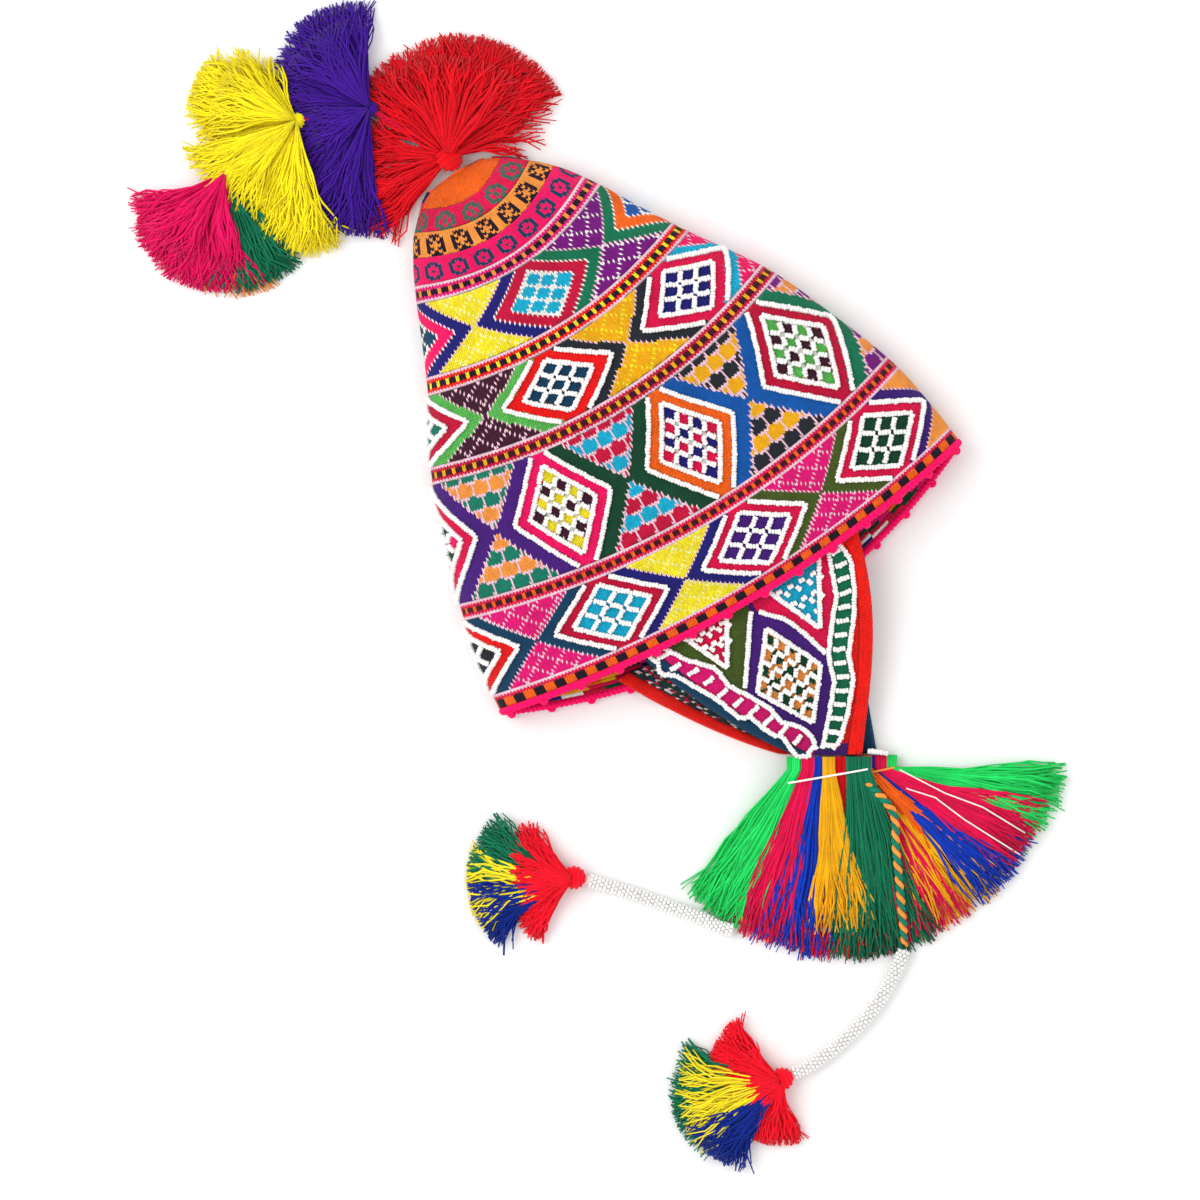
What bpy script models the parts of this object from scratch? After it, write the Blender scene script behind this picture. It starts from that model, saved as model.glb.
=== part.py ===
"""A chullo: a knitted cap with ear flaps, tassels and beaded ties, lying on its side.

Units are metres and +Z is up. The cap lies on the plane Z = 0 with its mouth towards -Y and its
tip towards +Y. The origin is on that plane, midway between the two folds of the rim. Near names
what lies on top, and far what lies against the plane.
"""

import math
from collections import namedtuple

import bmesh
import bpy
from mathutils import Matrix, Vector

# Cap
RIM_WIDTH = 0.258
CROWN_LENGTH = 0.236
CROWN_DEPTH = 0.034
WALL = 0.003
FOLD_HEIGHT = 0.3
UPPER_ROUNDNESS = 0.6
LOWER_BEND = 0.3
CROWN_COLUMNS = 36

# Rim edging and what touches it
GAP = 0.0003
SEWN_GAP = 0.0008
EDGING_RADIUS = 0.0018
PICOT_RADIUS = 0.0026
PICOT_EVERY = 4

# Ear flaps
FLAP_WIDTH = 0.111
FLAP_TIP_WIDTH = 0.017
FLAP_LENGTH = 0.084
FLAP_THICKNESS = 0.003
FLAP_TUCK = 0.005
BAND_WIDTH = 0.0062
BAND_THICKNESS = 0.0034

# Tip tassels
KNOB_RADIUS = 0.007
TASSEL_LENGTH = 0.060
LOCK_RADIUS = 0.0088
LOCK_FLATNESS = 0.62
HEAD_RADIUS = 0.0055
STRING_RADIUS = 0.0015

# Flap tassels
FRINGE_LENGTH = 0.095
FRINGE_LOCK_RADIUS = 0.0082
FRINGE_HEAD_WIDTH = 0.036
FRINGE_HEAD_LENGTH = 0.013
FRINGE_HEAD_THICKNESS = 0.0066

# Ties
TIE_RADIUS = 0.0022
ROPE_RADIUS = 0.0036
POMPOM_LENGTH = 0.055
POMPOM_LOCK_RADIUS = 0.0084
KNOT_RADIUS = 0.0058

Section = namedtuple("Section", "rise tilt left right near_bow far_bow depth")
Flap = namedtuple("Flap", "root_x lean reach tip_turn left_belly right_belly")
Lock = namedtuple("Lock", "bearing reach girth lift bend")
Bundle = namedtuple("Bundle", "along bearing reach girth lift bend")

# rise and tilt are shares of CROWN_LENGTH, left and right of half of RIM_WIDTH, the bows of
# RIM_WIDTH and depth of CROWN_DEPTH. The rows run from the rim to the gathered tip.
CROWN_SECTIONS = (
    Section(0.000, 0.017, 1.000, 1.000, 0.054, 0.116, 0.86),
    Section(0.060, 0.020, 0.985, 0.990, 0.064, 0.114, 0.90),
    Section(0.203, 0.020, 0.925, 0.947, 0.074, 0.104, 0.97),
    Section(0.350, 0.013, 0.835, 0.850, 0.073, 0.090, 1.00),
    Section(0.485, 0.006, 0.750, 0.743, 0.070, 0.076, 1.00),
    Section(0.647, 0.000, 0.588, 0.550, 0.052, 0.056, 0.96),
    Section(0.735, 0.000, 0.510, 0.455, 0.052, 0.052, 0.92),
    Section(0.820, -0.003, 0.442, 0.366, 0.052, 0.050, 0.86),
    Section(0.894, -0.004, 0.371, 0.270, 0.054, 0.048, 0.78),
    Section(0.936, 0.000, 0.313, 0.200, 0.046, 0.042, 0.68),
    Section(0.970, -0.002, 0.241, 0.117, 0.035, 0.032, 0.52),
    Section(0.988, 0.000, 0.190, 0.060, 0.018, 0.016, 0.36),
    Section(0.998, 0.000, 0.110, 0.010, 0.004, 0.004, 0.24),
)
# rise and depth are shares of CROWN_LENGTH and CROWN_DEPTH, across runs from -1 to 1 between the
# folds, and reach is how far the dent spreads in rise.
Dent = namedtuple("Dent", "rise across reach depth")
CROWN_DENTS = (
    Dent(0.72, 0.30, 0.12, 0.07),
    Dent(0.52, -0.45, 0.13, 0.06),
    Dent(0.30, 0.25, 0.14, 0.05),
    Dent(0.12, -0.35, 0.12, 0.05),
    Dent(0.16, 0.72, 0.12, 0.06),
)
TIP_X = -0.05
TIP_DEPTH = 0.2

# root_x and lean are shares of half of RIM_WIDTH: where the flap's middle leaves the rim, and how
# far its tip lies to the side of that. reach is a share of FLAP_LENGTH, tip_turn is in degrees,
# and the bellies are shares of FLAP_WIDTH.
NEAR_FLAP = Flap(0.020, -0.065, 1.03, -32.0, -0.025, 0.080)
FAR_FLAP = Flap(-0.080, 0.165, 0.96, -32.0, 0.030, 0.040)
FLAP_COLUMNS = 8
FLAP_ROWS = 9
FLAP_DROP = 0.2

# The tassels are tied along one string. Each place is from the one before, as a bearing in
# degrees from +X and a distance in TASSEL_LENGTH, and the first is the knob at the crown's tip.
STRING_TIES = {
    "purple": (116.0, 0.75),
    "yellow": (157.0, 0.60),
    "magenta": (184.0, 0.715),
}

# bearing is in degrees from +X, reach a share of the tassel's length, girth and lift shares of
# its lock radius, and bend the degrees by which a lock turns from its head to its end.
RED_LOCKS = (
    Lock(-171.0, 0.82, 0.70, 0.0, 0.0),
    Lock(164.0, 0.42, 0.70, 0.0, 0.0),
    Lock(68.0, 0.94, 0.95, 0.0, 0.0),
    Lock(46.0, 0.98, 1.05, 0.0, -3.0),
    Lock(24.0, 1.00, 1.05, 0.0, -3.0),
    Lock(7.0, 0.98, 0.85, 0.0, 0.0),
    Lock(-6.0, 0.60, 0.65, 0.0, 0.0),
    Lock(57.0, 0.78, 0.90, 0.9, 0.0),
    Lock(34.0, 0.84, 0.90, 0.9, 0.0),
)
PURPLE_LOCKS = (
    Lock(66.0, 0.84, 0.85, 0.0, 0.0),
    Lock(83.0, 0.90, 0.95, 0.0, 0.0),
    Lock(98.0, 0.90, 0.95, 0.0, 0.0),
    Lock(110.0, 0.78, 0.80, 0.0, 6.0),
    Lock(-154.0, 0.40, 0.65, 0.0, 0.0),
    Lock(-143.0, 0.72, 0.75, 0.0, 0.0),
    Lock(-134.0, 0.96, 0.80, 0.0, 0.0),
    Lock(90.0, 0.74, 0.85, 0.9, 0.0),
)
YELLOW_LOCKS = (
    Lock(92.0, 0.68, 0.80, 0.0, 0.0),
    Lock(108.0, 0.84, 0.95, 0.0, 0.0),
    Lock(124.0, 0.90, 0.95, 0.0, 0.0),
    Lock(134.0, 0.86, 0.82, 0.0, 8.0),
    Lock(-130.0, 0.60, 0.70, 0.0, 0.0),
    Lock(-115.0, 0.98, 0.78, 0.0, 0.0),
    Lock(116.0, 0.70, 0.85, 0.9, 0.0),
    Lock(134.0, 0.68, 0.85, 0.9, 0.0),
)
MAGENTA_LOCKS = (
    Lock(172.0, 0.78, 0.80, 0.0, 0.0),
    Lock(-172.0, 0.86, 0.90, 0.0, 0.0),
    Lock(-154.0, 0.94, 1.00, 0.0, 0.0),
    Lock(-137.0, 0.96, 1.00, 0.0, 0.0),
    Lock(-120.0, 0.94, 1.00, 0.0, 0.0),
    Lock(-103.0, 0.94, 0.90, 0.0, 0.0),
    Lock(-90.0, 0.92, 0.70, 0.0, 0.0),
    Lock(-145.0, 0.76, 0.90, 0.9, 0.0),
    Lock(-118.0, 0.76, 0.90, 0.9, 0.0),
)
TIP_TASSELS = {
    "purple": (PURPLE_LOCKS, (0.09, 0.01, 0.33)),
    "yellow": (YELLOW_LOCKS, (0.95, 0.78, 0.03)),
    "magenta": (MAGENTA_LOCKS, (0.72, 0.01, 0.19)),
}

# along is where a lock leaves the bound head, as a share of half the head's width.
NEAR_FRINGE = (
    Bundle(-0.82, -161.0, 0.80, 0.85, 0.80, 0.0),
    Bundle(-0.62, -151.0, 0.78, 0.85, 0.80, 0.0),
    Bundle(-0.38, -139.0, 0.98, 0.90, 0.0, 0.0),
    Bundle(-0.12, -128.0, 1.00, 0.95, 0.0, 0.0),
    Bundle(0.12, -118.0, 1.00, 0.95, 0.0, 0.0),
    Bundle(0.32, -109.0, 0.92, 0.78, 0.0, 0.0),
)
FAR_FRINGE = (
    Bundle(-0.30, -103.0, 0.80, 0.72, 0.0, 0.0),
    Bundle(-0.10, -90.0, 0.94, 0.80, 0.0, 0.0),
    Bundle(0.15, -77.0, 0.94, 0.90, 0.0, 0.0),
    Bundle(0.40, -64.0, 0.93, 0.92, 0.0, 0.0),
    Bundle(0.60, -51.0, 0.92, 0.92, 0.0, 0.0),
    Bundle(0.82, -39.0, 0.90, 0.90, 0.0, 0.0),
)

# The two ties and their beaded ropes lie free, so their routes are points chosen by hand, in
# metres.
LEFT_TIE = (
    (-0.0220, -0.0985, 0.0046),
    (-0.0265, -0.1010, 0.0046),
    (-0.0320, -0.1045, 0.0038),
    (-0.0420, -0.1125, 0.0025),
    (-0.0530, -0.1210, 0.0025),
    (-0.0650, -0.1305, 0.0025),
    (-0.0770, -0.1395, 0.0025),
    (-0.0870, -0.1465, 0.0025),
)
LEFT_ROPE = (
    (-0.0908, -0.1481, 0.0039),
    (-0.0960, -0.1425, 0.0039),
    (-0.0988, -0.1375, 0.0039),
    (-0.1043, -0.1300, 0.0039),
    (-0.1157, -0.1154, 0.0039),
    (-0.1269, -0.1014, 0.0039),
    (-0.1380, -0.0890, 0.0039),
)
RIGHT_TIE = (
    (0.0024, -0.1210, 0.0108),
    (0.0056, -0.1400, 0.0110),
    (-0.0020, -0.1550, 0.0108),
    (-0.0070, -0.1650, 0.0107),
    (-0.0121, -0.1750, 0.0104),
    (-0.0167, -0.1840, 0.0094),
    (-0.0200, -0.1910, 0.0072),
    (-0.0225, -0.1955, 0.0052),
    (-0.0245, -0.1990, 0.0040),
)
RIGHT_ROPE = (
    (-0.0252, -0.2003, 0.0039),
    (-0.0342, -0.2070, 0.0039),
    (-0.0485, -0.2146, 0.0039),
    (-0.0625, -0.2195, 0.0039),
    (-0.0769, -0.2224, 0.0039),
    (-0.0931, -0.2236, 0.0039),
    (-0.1035, -0.2226, 0.0039),
)
ROUTE_STEP = 0.006

# Each pompom has short red locks over longer ones of mixed colours, and hangs from a knot. Their
# bearings are from the pompom's own axis.
POMPOM_LOCKS = (
    Lock(-27.0, 0.90, 0.85, 0.0, 0.0),
    Lock(-14.0, 0.97, 0.95, 0.0, 0.0),
    Lock(0.0, 1.00, 0.95, 0.0, 0.0),
    Lock(14.0, 0.97, 0.95, 0.0, 0.0),
    Lock(27.0, 0.90, 0.85, 0.0, 0.0),
    Lock(-56.0, 0.60, 0.85, 0.0, 0.0),
    Lock(-30.0, 0.56, 0.90, 0.9, 0.0),
    Lock(0.0, 0.54, 0.90, 0.9, 0.0),
    Lock(30.0, 0.56, 0.90, 0.9, 0.0),
    Lock(56.0, 0.60, 0.85, 0.0, 0.0),
)
POMPOM_AXES = {"left": 149.0, "right": 173.0}

parts = None
workbench = None


def start_scene():
    """Empties the scene and makes the collection for the parts and one for what they are cut from."""
    global parts, workbench
    for obj in list(bpy.data.objects):
        bpy.data.objects.remove(obj)
    parts = bpy.data.collections.new("chullo")
    workbench = bpy.data.collections.new("workbench")
    for collection in (parts, workbench):
        bpy.context.scene.collection.children.link(collection)
    workbench.hide_render = True


def paint(obj, name, colour, roughness=0.9):
    material = bpy.data.materials.get(name) or bpy.data.materials.new(name)
    material.use_nodes = True
    shader = material.node_tree.nodes["Principled BSDF"]
    shader.inputs["Base Color"].default_value = (*colour, 1.0)
    shader.inputs["Roughness"].default_value = roughness
    shader.inputs["Metallic"].default_value = 0.0
    obj.data.materials.clear()
    obj.data.materials.append(material)
    return obj


def add_part(name, data):
    obj = bpy.data.objects.new(name, data)
    parts.objects.link(obj)
    return obj


def on_bench(name, data):
    obj = bpy.data.objects.new(name, data)
    workbench.objects.link(obj)
    obj.hide_render = True
    obj.display_type = "WIRE"
    return obj


def evaluated_mesh(obj):
    """The object's mesh as its modifiers leave it, closed where a curve's caps meet its sides."""
    bpy.context.view_layer.update()
    graph = bpy.context.evaluated_depsgraph_get()
    mesh = bpy.data.meshes.new_from_object(obj.evaluated_get(graph))
    work = bmesh.new()
    work.from_mesh(mesh)
    bmesh.ops.remove_doubles(work, verts=work.verts, dist=1e-6)
    bmesh.ops.recalc_face_normals(work, faces=work.faces)
    work.to_mesh(mesh)
    work.free()
    return mesh


def smooth_step(share):
    share = min(1.0, max(0.0, share))
    return share * share * (3.0 - 2.0 * share)


def heading(bearing):
    angle = math.radians(bearing)
    return Vector((math.cos(angle), math.sin(angle), 0.0))


def loft(rings, closed_rings, pole=None):
    """A surface through rings of as many points each, closed on itself and at a pole if asked."""
    mesh = bpy.data.meshes.new("loft")
    work = bmesh.new()
    rows = [[work.verts.new(point) for point in ring] for ring in rings]
    count = len(rings[0])
    steps = count if closed_rings else count - 1
    for lower, upper in zip(rows, rows[1:]):
        for i in range(steps):
            j = (i + 1) % count
            work.faces.new((lower[j], lower[i], upper[i], upper[j]))
    if pole is not None:
        top = work.verts.new(pole)
        for i in range(steps):
            work.faces.new((rows[-1][(i + 1) % count], rows[-1][i], top))
    work.to_mesh(mesh)
    work.free()
    return mesh


def tube_curve(points, radii, depth, cyclic=False, resolution=1):
    """A straight-sided tube with filled caps through points, its radius depth times radii."""
    curve = bpy.data.curves.new("tube", "CURVE")
    curve.dimensions = "3D"
    curve.bevel_depth = depth
    curve.bevel_resolution = resolution
    curve.use_fill_caps = not cyclic
    spline = curve.splines.new("POLY")
    spline.points.add(len(points) - 1)
    for target, point, radius in zip(spline.points, points, radii):
        target.co = (*point, 1.0)
        target.radius = radius
    spline.use_cyclic_u = cyclic
    return curve


# Crown


def crown_section(rise):
    """The crown's section at a share of its length, read smoothly between the rows."""
    rows = CROWN_SECTIONS
    for lower, upper in zip(rows, rows[1:]):
        if rise <= upper.rise:
            break
    share = (rise - lower.rise) / (upper.rise - lower.rise)
    return Section(*(a + (b - a) * share for a, b in zip(lower, upper)))


def crown_half_width(section):
    return (section.left + section.right) * RIM_WIDTH / 4


def crown_middle(section):
    return (section.right - section.left) * RIM_WIDTH / 4


def upper_height(section, across):
    """Height of the upper layer's outer face, across running from -1 to 1 between the folds."""
    depth = section.depth * CROWN_DEPTH
    fold = FOLD_HEIGHT * depth
    crest = max(0.0, 1.0 - across * across)
    height = fold + (depth - fold) * crest ** (UPPER_ROUNDNESS / 2)
    for dent in CROWN_DENTS:
        along, aside = section.rise - dent.rise, (across - dent.across) / 2
        fade = math.exp(-(along * along + aside * aside) / dent.reach**2) * crest
        height -= dent.depth * CROWN_DEPTH * fade
    return height


def lower_height(section, across):
    fold = FOLD_HEIGHT * section.depth * CROWN_DEPTH
    inward = math.sqrt(max(0.0, 1.0 - across * across))
    return fold * max(0.0, 1.0 - inward / LOWER_BEND) ** 2


def crown_point(section, across, near):
    """A point of the crown's outer face."""
    bow = section.near_bow if near else section.far_bow
    y = (section.rise - section.tilt * across) * CROWN_LENGTH
    y -= bow * RIM_WIDTH * (1.0 - across * across)
    height = upper_height if near else lower_height
    x = crown_middle(section) + crown_half_width(section) * across
    return Vector((x, y, height(section, across)))


def crown_ring(section):
    ring = []
    for i in range(CROWN_COLUMNS):
        angle = 2 * math.pi * i / CROWN_COLUMNS
        ring.append(crown_point(section, math.cos(angle), math.sin(angle) >= -1e-9))
    return ring


def make_crown():
    tip = CROWN_SECTIONS[-1]
    pole = Vector((TIP_X * RIM_WIDTH / 2, CROWN_LENGTH, TIP_DEPTH * CROWN_DEPTH))
    rings = [crown_ring(section) for section in CROWN_SECTIONS]
    crown = add_part("crown", loft(rings, closed_rings=True, pole=pole))
    wall = crown.modifiers.new("wall", "SOLIDIFY")
    wall.thickness = WALL
    wall.offset = -1.0
    wall.use_even_offset = False
    crown.data.shade_smooth()
    return paint(crown, "knitted wool", (0.62, 0.10, 0.18))


def rim_line(section, across, near):
    """The middle of the cloth's edge at the mouth."""
    point = crown_point(section, across, near)
    half = WALL / 2
    inward = Vector((0.0, 0.0, -half if near else half))
    fold = abs(across) ** 12
    inward = inward * (1.0 - fold) + Vector((-math.copysign(half, across) * fold, 0.0, 0.0))
    return point + inward


def make_rim_edging():
    """A crocheted edging along the whole mouth, thicker at each picot."""
    rim = CROWN_SECTIONS[0]
    count = 2 * CROWN_COLUMNS
    edge = []
    for i in range(count):
        angle = 2 * math.pi * i / count
        edge.append(rim_line(rim, math.cos(angle), math.sin(angle) >= -1e-9))
    points, radii = [], []
    for i, point in enumerate(edge):
        along = (edge[(i + 1) % count] - edge[i - 1]).normalized()
        off = Vector((0.0, -1.0, 0.0))
        off = (off - along * off.dot(along)).normalized()
        radius = PICOT_RADIUS if i % PICOT_EVERY == 0 else EDGING_RADIUS
        point = point - off * (radius + SEWN_GAP) / off.y
        point.z = max(point.z, radius)
        points.append(point)
        radii.append(radius / EDGING_RADIUS)
    edging = add_part("rim_edging", tube_curve(points, radii, EDGING_RADIUS, cyclic=True))
    return paint(edging, "pink edging", (0.80, 0.01, 0.22))


# Ear flaps


def rim_y(x, near):
    rim = CROWN_SECTIONS[0]
    across = (x - crown_middle(rim)) / crown_half_width(rim)
    return crown_point(rim, across, near).y


def flap_side(flap, near, side, share):
    """A point, in plan, on one side of a flap: side -1 or 1, share 0 at its root and 1 at its tip."""
    half = RIM_WIDTH / 2
    top = Vector((flap.root_x * half + side * FLAP_WIDTH / 2, 0.0))
    top.y = rim_y(top.x, near) + FLAP_TUCK
    turn = math.radians(flap.tip_turn)
    tip = Vector(((flap.root_x + flap.lean) * half, rim_y(0.0, near) - FLAP_LENGTH * flap.reach))
    tip += Vector((math.cos(turn), math.sin(turn))) * side * FLAP_TIP_WIDTH / 2
    belly = flap.left_belly if side < 0 else flap.right_belly
    point = top.lerp(tip, share)
    point.x += side * belly * FLAP_WIDTH * math.sin(math.pi * share)
    return point


def head_height(near):
    """Height of the middle of a flap tassel's head: the near one lies on the far one."""
    below = FRINGE_HEAD_THICKNESS + GAP if near else 0.0
    return below + GAP + FRINGE_HEAD_THICKNESS / 2


def flap_height(near, x, share):
    """Height of the middle of a flap's thickness."""
    rim = CROWN_SECTIONS[0]
    across = (x - crown_middle(rim)) / crown_half_width(rim)
    half = max(FLAP_THICKNESS, BAND_THICKNESS) / 2
    if near:
        top = upper_height(rim, across) - max(WALL, WALL / 2 + PICOT_RADIUS) - GAP - half
        rest = head_height(near)
        start, end = 0.0, 1.0
    else:
        top = max(WALL, 2 * PICOT_RADIUS) + SEWN_GAP + half
        rest = GAP + half
        start = (FLAP_TUCK + 2 * PICOT_RADIUS + 2 * SEWN_GAP) / FLAP_LENGTH
        end = start + FLAP_DROP
    return top + (rest - top) * smooth_step((share - start) / (end - start))


def flap_grid(flap, near, sides):
    """Points of a flap's middle surface. sides are pairs: share across and offset outwards."""
    left_root, right_root = flap_side(flap, near, -1, 0.0), flap_side(flap, near, 1, 0.0)
    grid = []
    for row in range(FLAP_ROWS + 1):
        share = row / FLAP_ROWS
        left, right = flap_side(flap, near, -1, share), flap_side(flap, near, 1, share)
        outwards = (right - left).normalized()
        line = []
        for across, offset in sides:
            root = left_root.lerp(right_root, across)
            plan = left.lerp(right, across) + outwards * offset
            plan.y += (rim_y(root.x, near) + FLAP_TUCK - root.y) * (1.0 - share)
            line.append(Vector((plan.x, plan.y, flap_height(near, plan.x, share))))
        grid.append(line)
    return grid


def make_cloth(name, grid, thickness):
    cloth = add_part(name, loft(grid, closed_rings=False))
    wall = cloth.modifiers.new("wall", "SOLIDIFY")
    wall.thickness = thickness
    wall.offset = 0.0
    wall.use_even_offset = False
    cloth.data.shade_smooth()
    return cloth


def make_flap(label, flap, near):
    """The knitted panel and its two side bands. Seen from outside, red is right and blue left."""
    across = [(i / FLAP_COLUMNS, 0.0) for i in range(FLAP_COLUMNS + 1)]
    panel = make_cloth(f"{label}_ear_flap", flap_grid(flap, near, across), FLAP_THICKNESS)
    paint(panel, "flap wool", (0.45, 0.08, 0.20))
    offsets = [SEWN_GAP + BAND_WIDTH * i / 2 for i in range(3)]
    right_side = [(1.0, offset) for offset in offsets]
    left_side = [(0.0, -offset) for offset in reversed(offsets)]
    red_side, blue_side = (right_side, left_side) if near else (left_side, right_side)
    red = make_cloth(f"{label}_red_band", flap_grid(flap, near, red_side), BAND_THICKNESS)
    paint(red, "red band", (0.85, 0.02, 0.02))
    blue = make_cloth(f"{label}_blue_band", flap_grid(flap, near, blue_side), BAND_THICKNESS)
    paint(blue, "blue band", (0.01, 0.08, 0.16))


# Tassels

LOCK_STATIONS = ((0.0, 0.38), (0.25, 0.68), (0.55, 0.96), (0.86, 1.0), (1.0, 0.72))
LOCK_SETTLED = 0.62
LOCK_START = 0.35
FUSE_STEP = 0.0012
FACES_PER_LOCK = 78


def lock_curve(start, lock, length, radius):
    """One lock of yarn: narrow at its head, full near its end, and lying on what is under it.

    Its heights are divided by LOCK_FLATNESS, and lock_mesh flattens the finished tube.
    """
    points, radii = [], []
    bottom = lock.lift * radius + GAP
    for share, fullness in LOCK_STATIONS:
        girth = radius * lock.girth * fullness
        half_height = girth * LOCK_FLATNESS
        direction = heading(lock.bearing + lock.bend * share)
        point = start + direction * lock.reach * length * share
        settle = smooth_step(share / LOCK_SETTLED)
        height = start.z * (1.0 - settle) + (bottom + half_height) * settle
        point.z = max(height, half_height + GAP) / LOCK_FLATNESS
        points.append(point)
        radii.append(girth / radius)
    return tube_curve(points, radii, radius)


def lock_mesh(start, lock, length, radius):
    curve = on_bench("lock", lock_curve(start, lock, length, radius))
    mesh = evaluated_mesh(curve)
    bpy.data.objects.remove(curve)
    mesh.transform(Matrix.Diagonal((1.0, 1.0, LOCK_FLATNESS, 1.0)))
    return mesh


def fuse(name, meshes):
    """One closed skin over overlapping meshes, as yarns that cling together have."""
    work = bmesh.new()
    for mesh in meshes:
        work.from_mesh(mesh)
    together = bpy.data.meshes.new(name)
    work.to_mesh(together)
    work.free()
    obj = add_part(name, together)
    skin = obj.modifiers.new("skin", "REMESH")
    skin.mode = "VOXEL"
    skin.voxel_size = FUSE_STEP
    bpy.context.view_layer.update()
    graph = bpy.context.evaluated_depsgraph_get()
    fine = len(obj.evaluated_get(graph).data.polygons) * 2
    thin_out = obj.modifiers.new("thin out", "DECIMATE")
    thin_out.ratio = FACES_PER_LOCK * len(meshes) / fine
    obj.data = outer_skin(evaluated_mesh(obj))
    obj.modifiers.clear()
    return obj


def outer_skin(mesh):
    """The mesh without the small hollows that the skin may close off between locks."""
    work = bmesh.new()
    work.from_mesh(mesh)
    shells = []
    unseen = set(work.verts)
    while unseen:
        shell, edge = set(), {unseen.pop()}
        while edge:
            shell |= edge
            edge = {other for v in edge for e in v.link_edges for other in e.verts} - shell
        unseen -= shell
        shells.append(shell)
    largest = max(shells, key=len)
    spare = [v for v in work.verts if v not in largest]
    bmesh.ops.delete(work, geom=spare, context="VERTS")
    work.to_mesh(mesh)
    work.free()
    return mesh


def ball(centre, radius, segments=10, rings=6):
    mesh = bpy.data.meshes.new("ball")
    work = bmesh.new()
    bmesh.ops.create_uvsphere(work, u_segments=segments, v_segments=rings, radius=radius)
    bmesh.ops.translate(work, vec=centre, verts=work.verts)
    work.to_mesh(mesh)
    work.free()
    return mesh


def make_tassel(name, centre, head_radius, locks, length, radius):
    """A round head with locks of yarn fused to it."""
    meshes = [ball(centre, head_radius)]
    for lock in locks:
        start = centre + heading(lock.bearing) * head_radius * LOCK_START
        meshes.append(lock_mesh(start, lock, length, radius))
    return fuse(name, meshes)


def make_tip_tassels():
    """The knobbed red tassel at the crown's tip and three more on a string beyond it."""
    place = Vector((TIP_X * RIM_WIDTH / 2, CROWN_LENGTH + KNOB_RADIUS + GAP, KNOB_RADIUS + GAP))
    red = make_tassel("red_tassel", place, KNOB_RADIUS, RED_LOCKS, TASSEL_LENGTH, LOCK_RADIUS)
    paint(red, "red tassel yarn", (0.72, 0.01, 0.05))
    radius_before = KNOB_RADIUS
    for label, (bearing, distance) in STRING_TIES.items():
        before = place
        place = before + heading(bearing) * distance * TASSEL_LENGTH
        place.z = HEAD_RADIUS + GAP
        locks, colour = TIP_TASSELS[label]
        tassel = make_tassel(f"{label}_tassel", place, HEAD_RADIUS, locks, TASSEL_LENGTH, LOCK_RADIUS)
        paint(tassel, f"{label} tassel yarn", colour)
        along = (place - before).normalized()
        ends = (before + along * (radius_before + 2 * GAP), place - along * (HEAD_RADIUS + 2 * GAP))
        string = add_part(f"{label}_tassel_string", tube_curve(ends, (1.0, 1.0), STRING_RADIUS))
        paint(string, "tassel string", (0.35, 0.02, 0.08))
        radius_before = HEAD_RADIUS


def bound_head(centre, size, bearing):
    """The flat head of a flap tassel, its length along a bearing."""
    mesh = bpy.data.meshes.new("head")
    work = bmesh.new()
    bmesh.ops.create_cube(work, size=1.0)
    bmesh.ops.scale(work, vec=size, verts=work.verts)
    bmesh.ops.bevel(
        work, geom=work.edges[:], offset=min(size) * 0.3, segments=2, affect="EDGES", profile=0.5
    )
    turn = Matrix.Rotation(math.radians(bearing), 3, "Z")
    bmesh.ops.rotate(work, cent=(0.0, 0.0, 0.0), matrix=turn, verts=work.verts)
    bmesh.ops.translate(work, vec=centre, verts=work.verts)
    work.to_mesh(mesh)
    work.free()
    return mesh


def make_fringe(label, flap, near, bundles, colour):
    """A flap's tassel: a flat bound head at the flap's tip, and locks fanned out from it."""
    bearing = flap.tip_turn - 90.0
    tip = flap_side(flap, near, -1, 1.0).lerp(flap_side(flap, near, 1, 1.0), 0.5)
    centre = Vector((tip.x, tip.y, head_height(near)))
    centre += heading(bearing) * (FRINGE_HEAD_LENGTH / 2 + SEWN_GAP)
    size = (FRINGE_HEAD_LENGTH, FRINGE_HEAD_WIDTH, FRINGE_HEAD_THICKNESS)
    meshes = [bound_head(centre, size, bearing)]
    for bundle in bundles:
        start = centre + heading(flap.tip_turn) * bundle.along * FRINGE_HEAD_WIDTH / 2
        lock = Lock(bundle.bearing, bundle.reach, bundle.girth, bundle.lift, bundle.bend)
        meshes.append(lock_mesh(start, lock, FRINGE_LENGTH, FRINGE_LOCK_RADIUS))
    paint(fuse(f"{label}_flap_tassel", meshes), f"{label} flap tassel yarn", colour)


# Ties


def smooth_route(points):
    """Points at even steps on a smooth curve through a hand-chosen route."""
    route = [Vector(point) for point in points]
    ends = [2 * route[0] - route[1], *route, 2 * route[-1] - route[-2]]
    smooth = [route[0]]
    for a, b, c, d in zip(ends, ends[1:], ends[2:], ends[3:]):
        steps = max(1, round((c - b).length / ROUTE_STEP))
        for i in range(1, steps + 1):
            t = i / steps
            smooth.append(
                0.5 * (2 * b + (c - a) * t + (2 * a - 5 * b + 4 * c - d) * t * t
                       + (3 * b - 3 * c + d - a) * t ** 3)
            )
    return smooth


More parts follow.
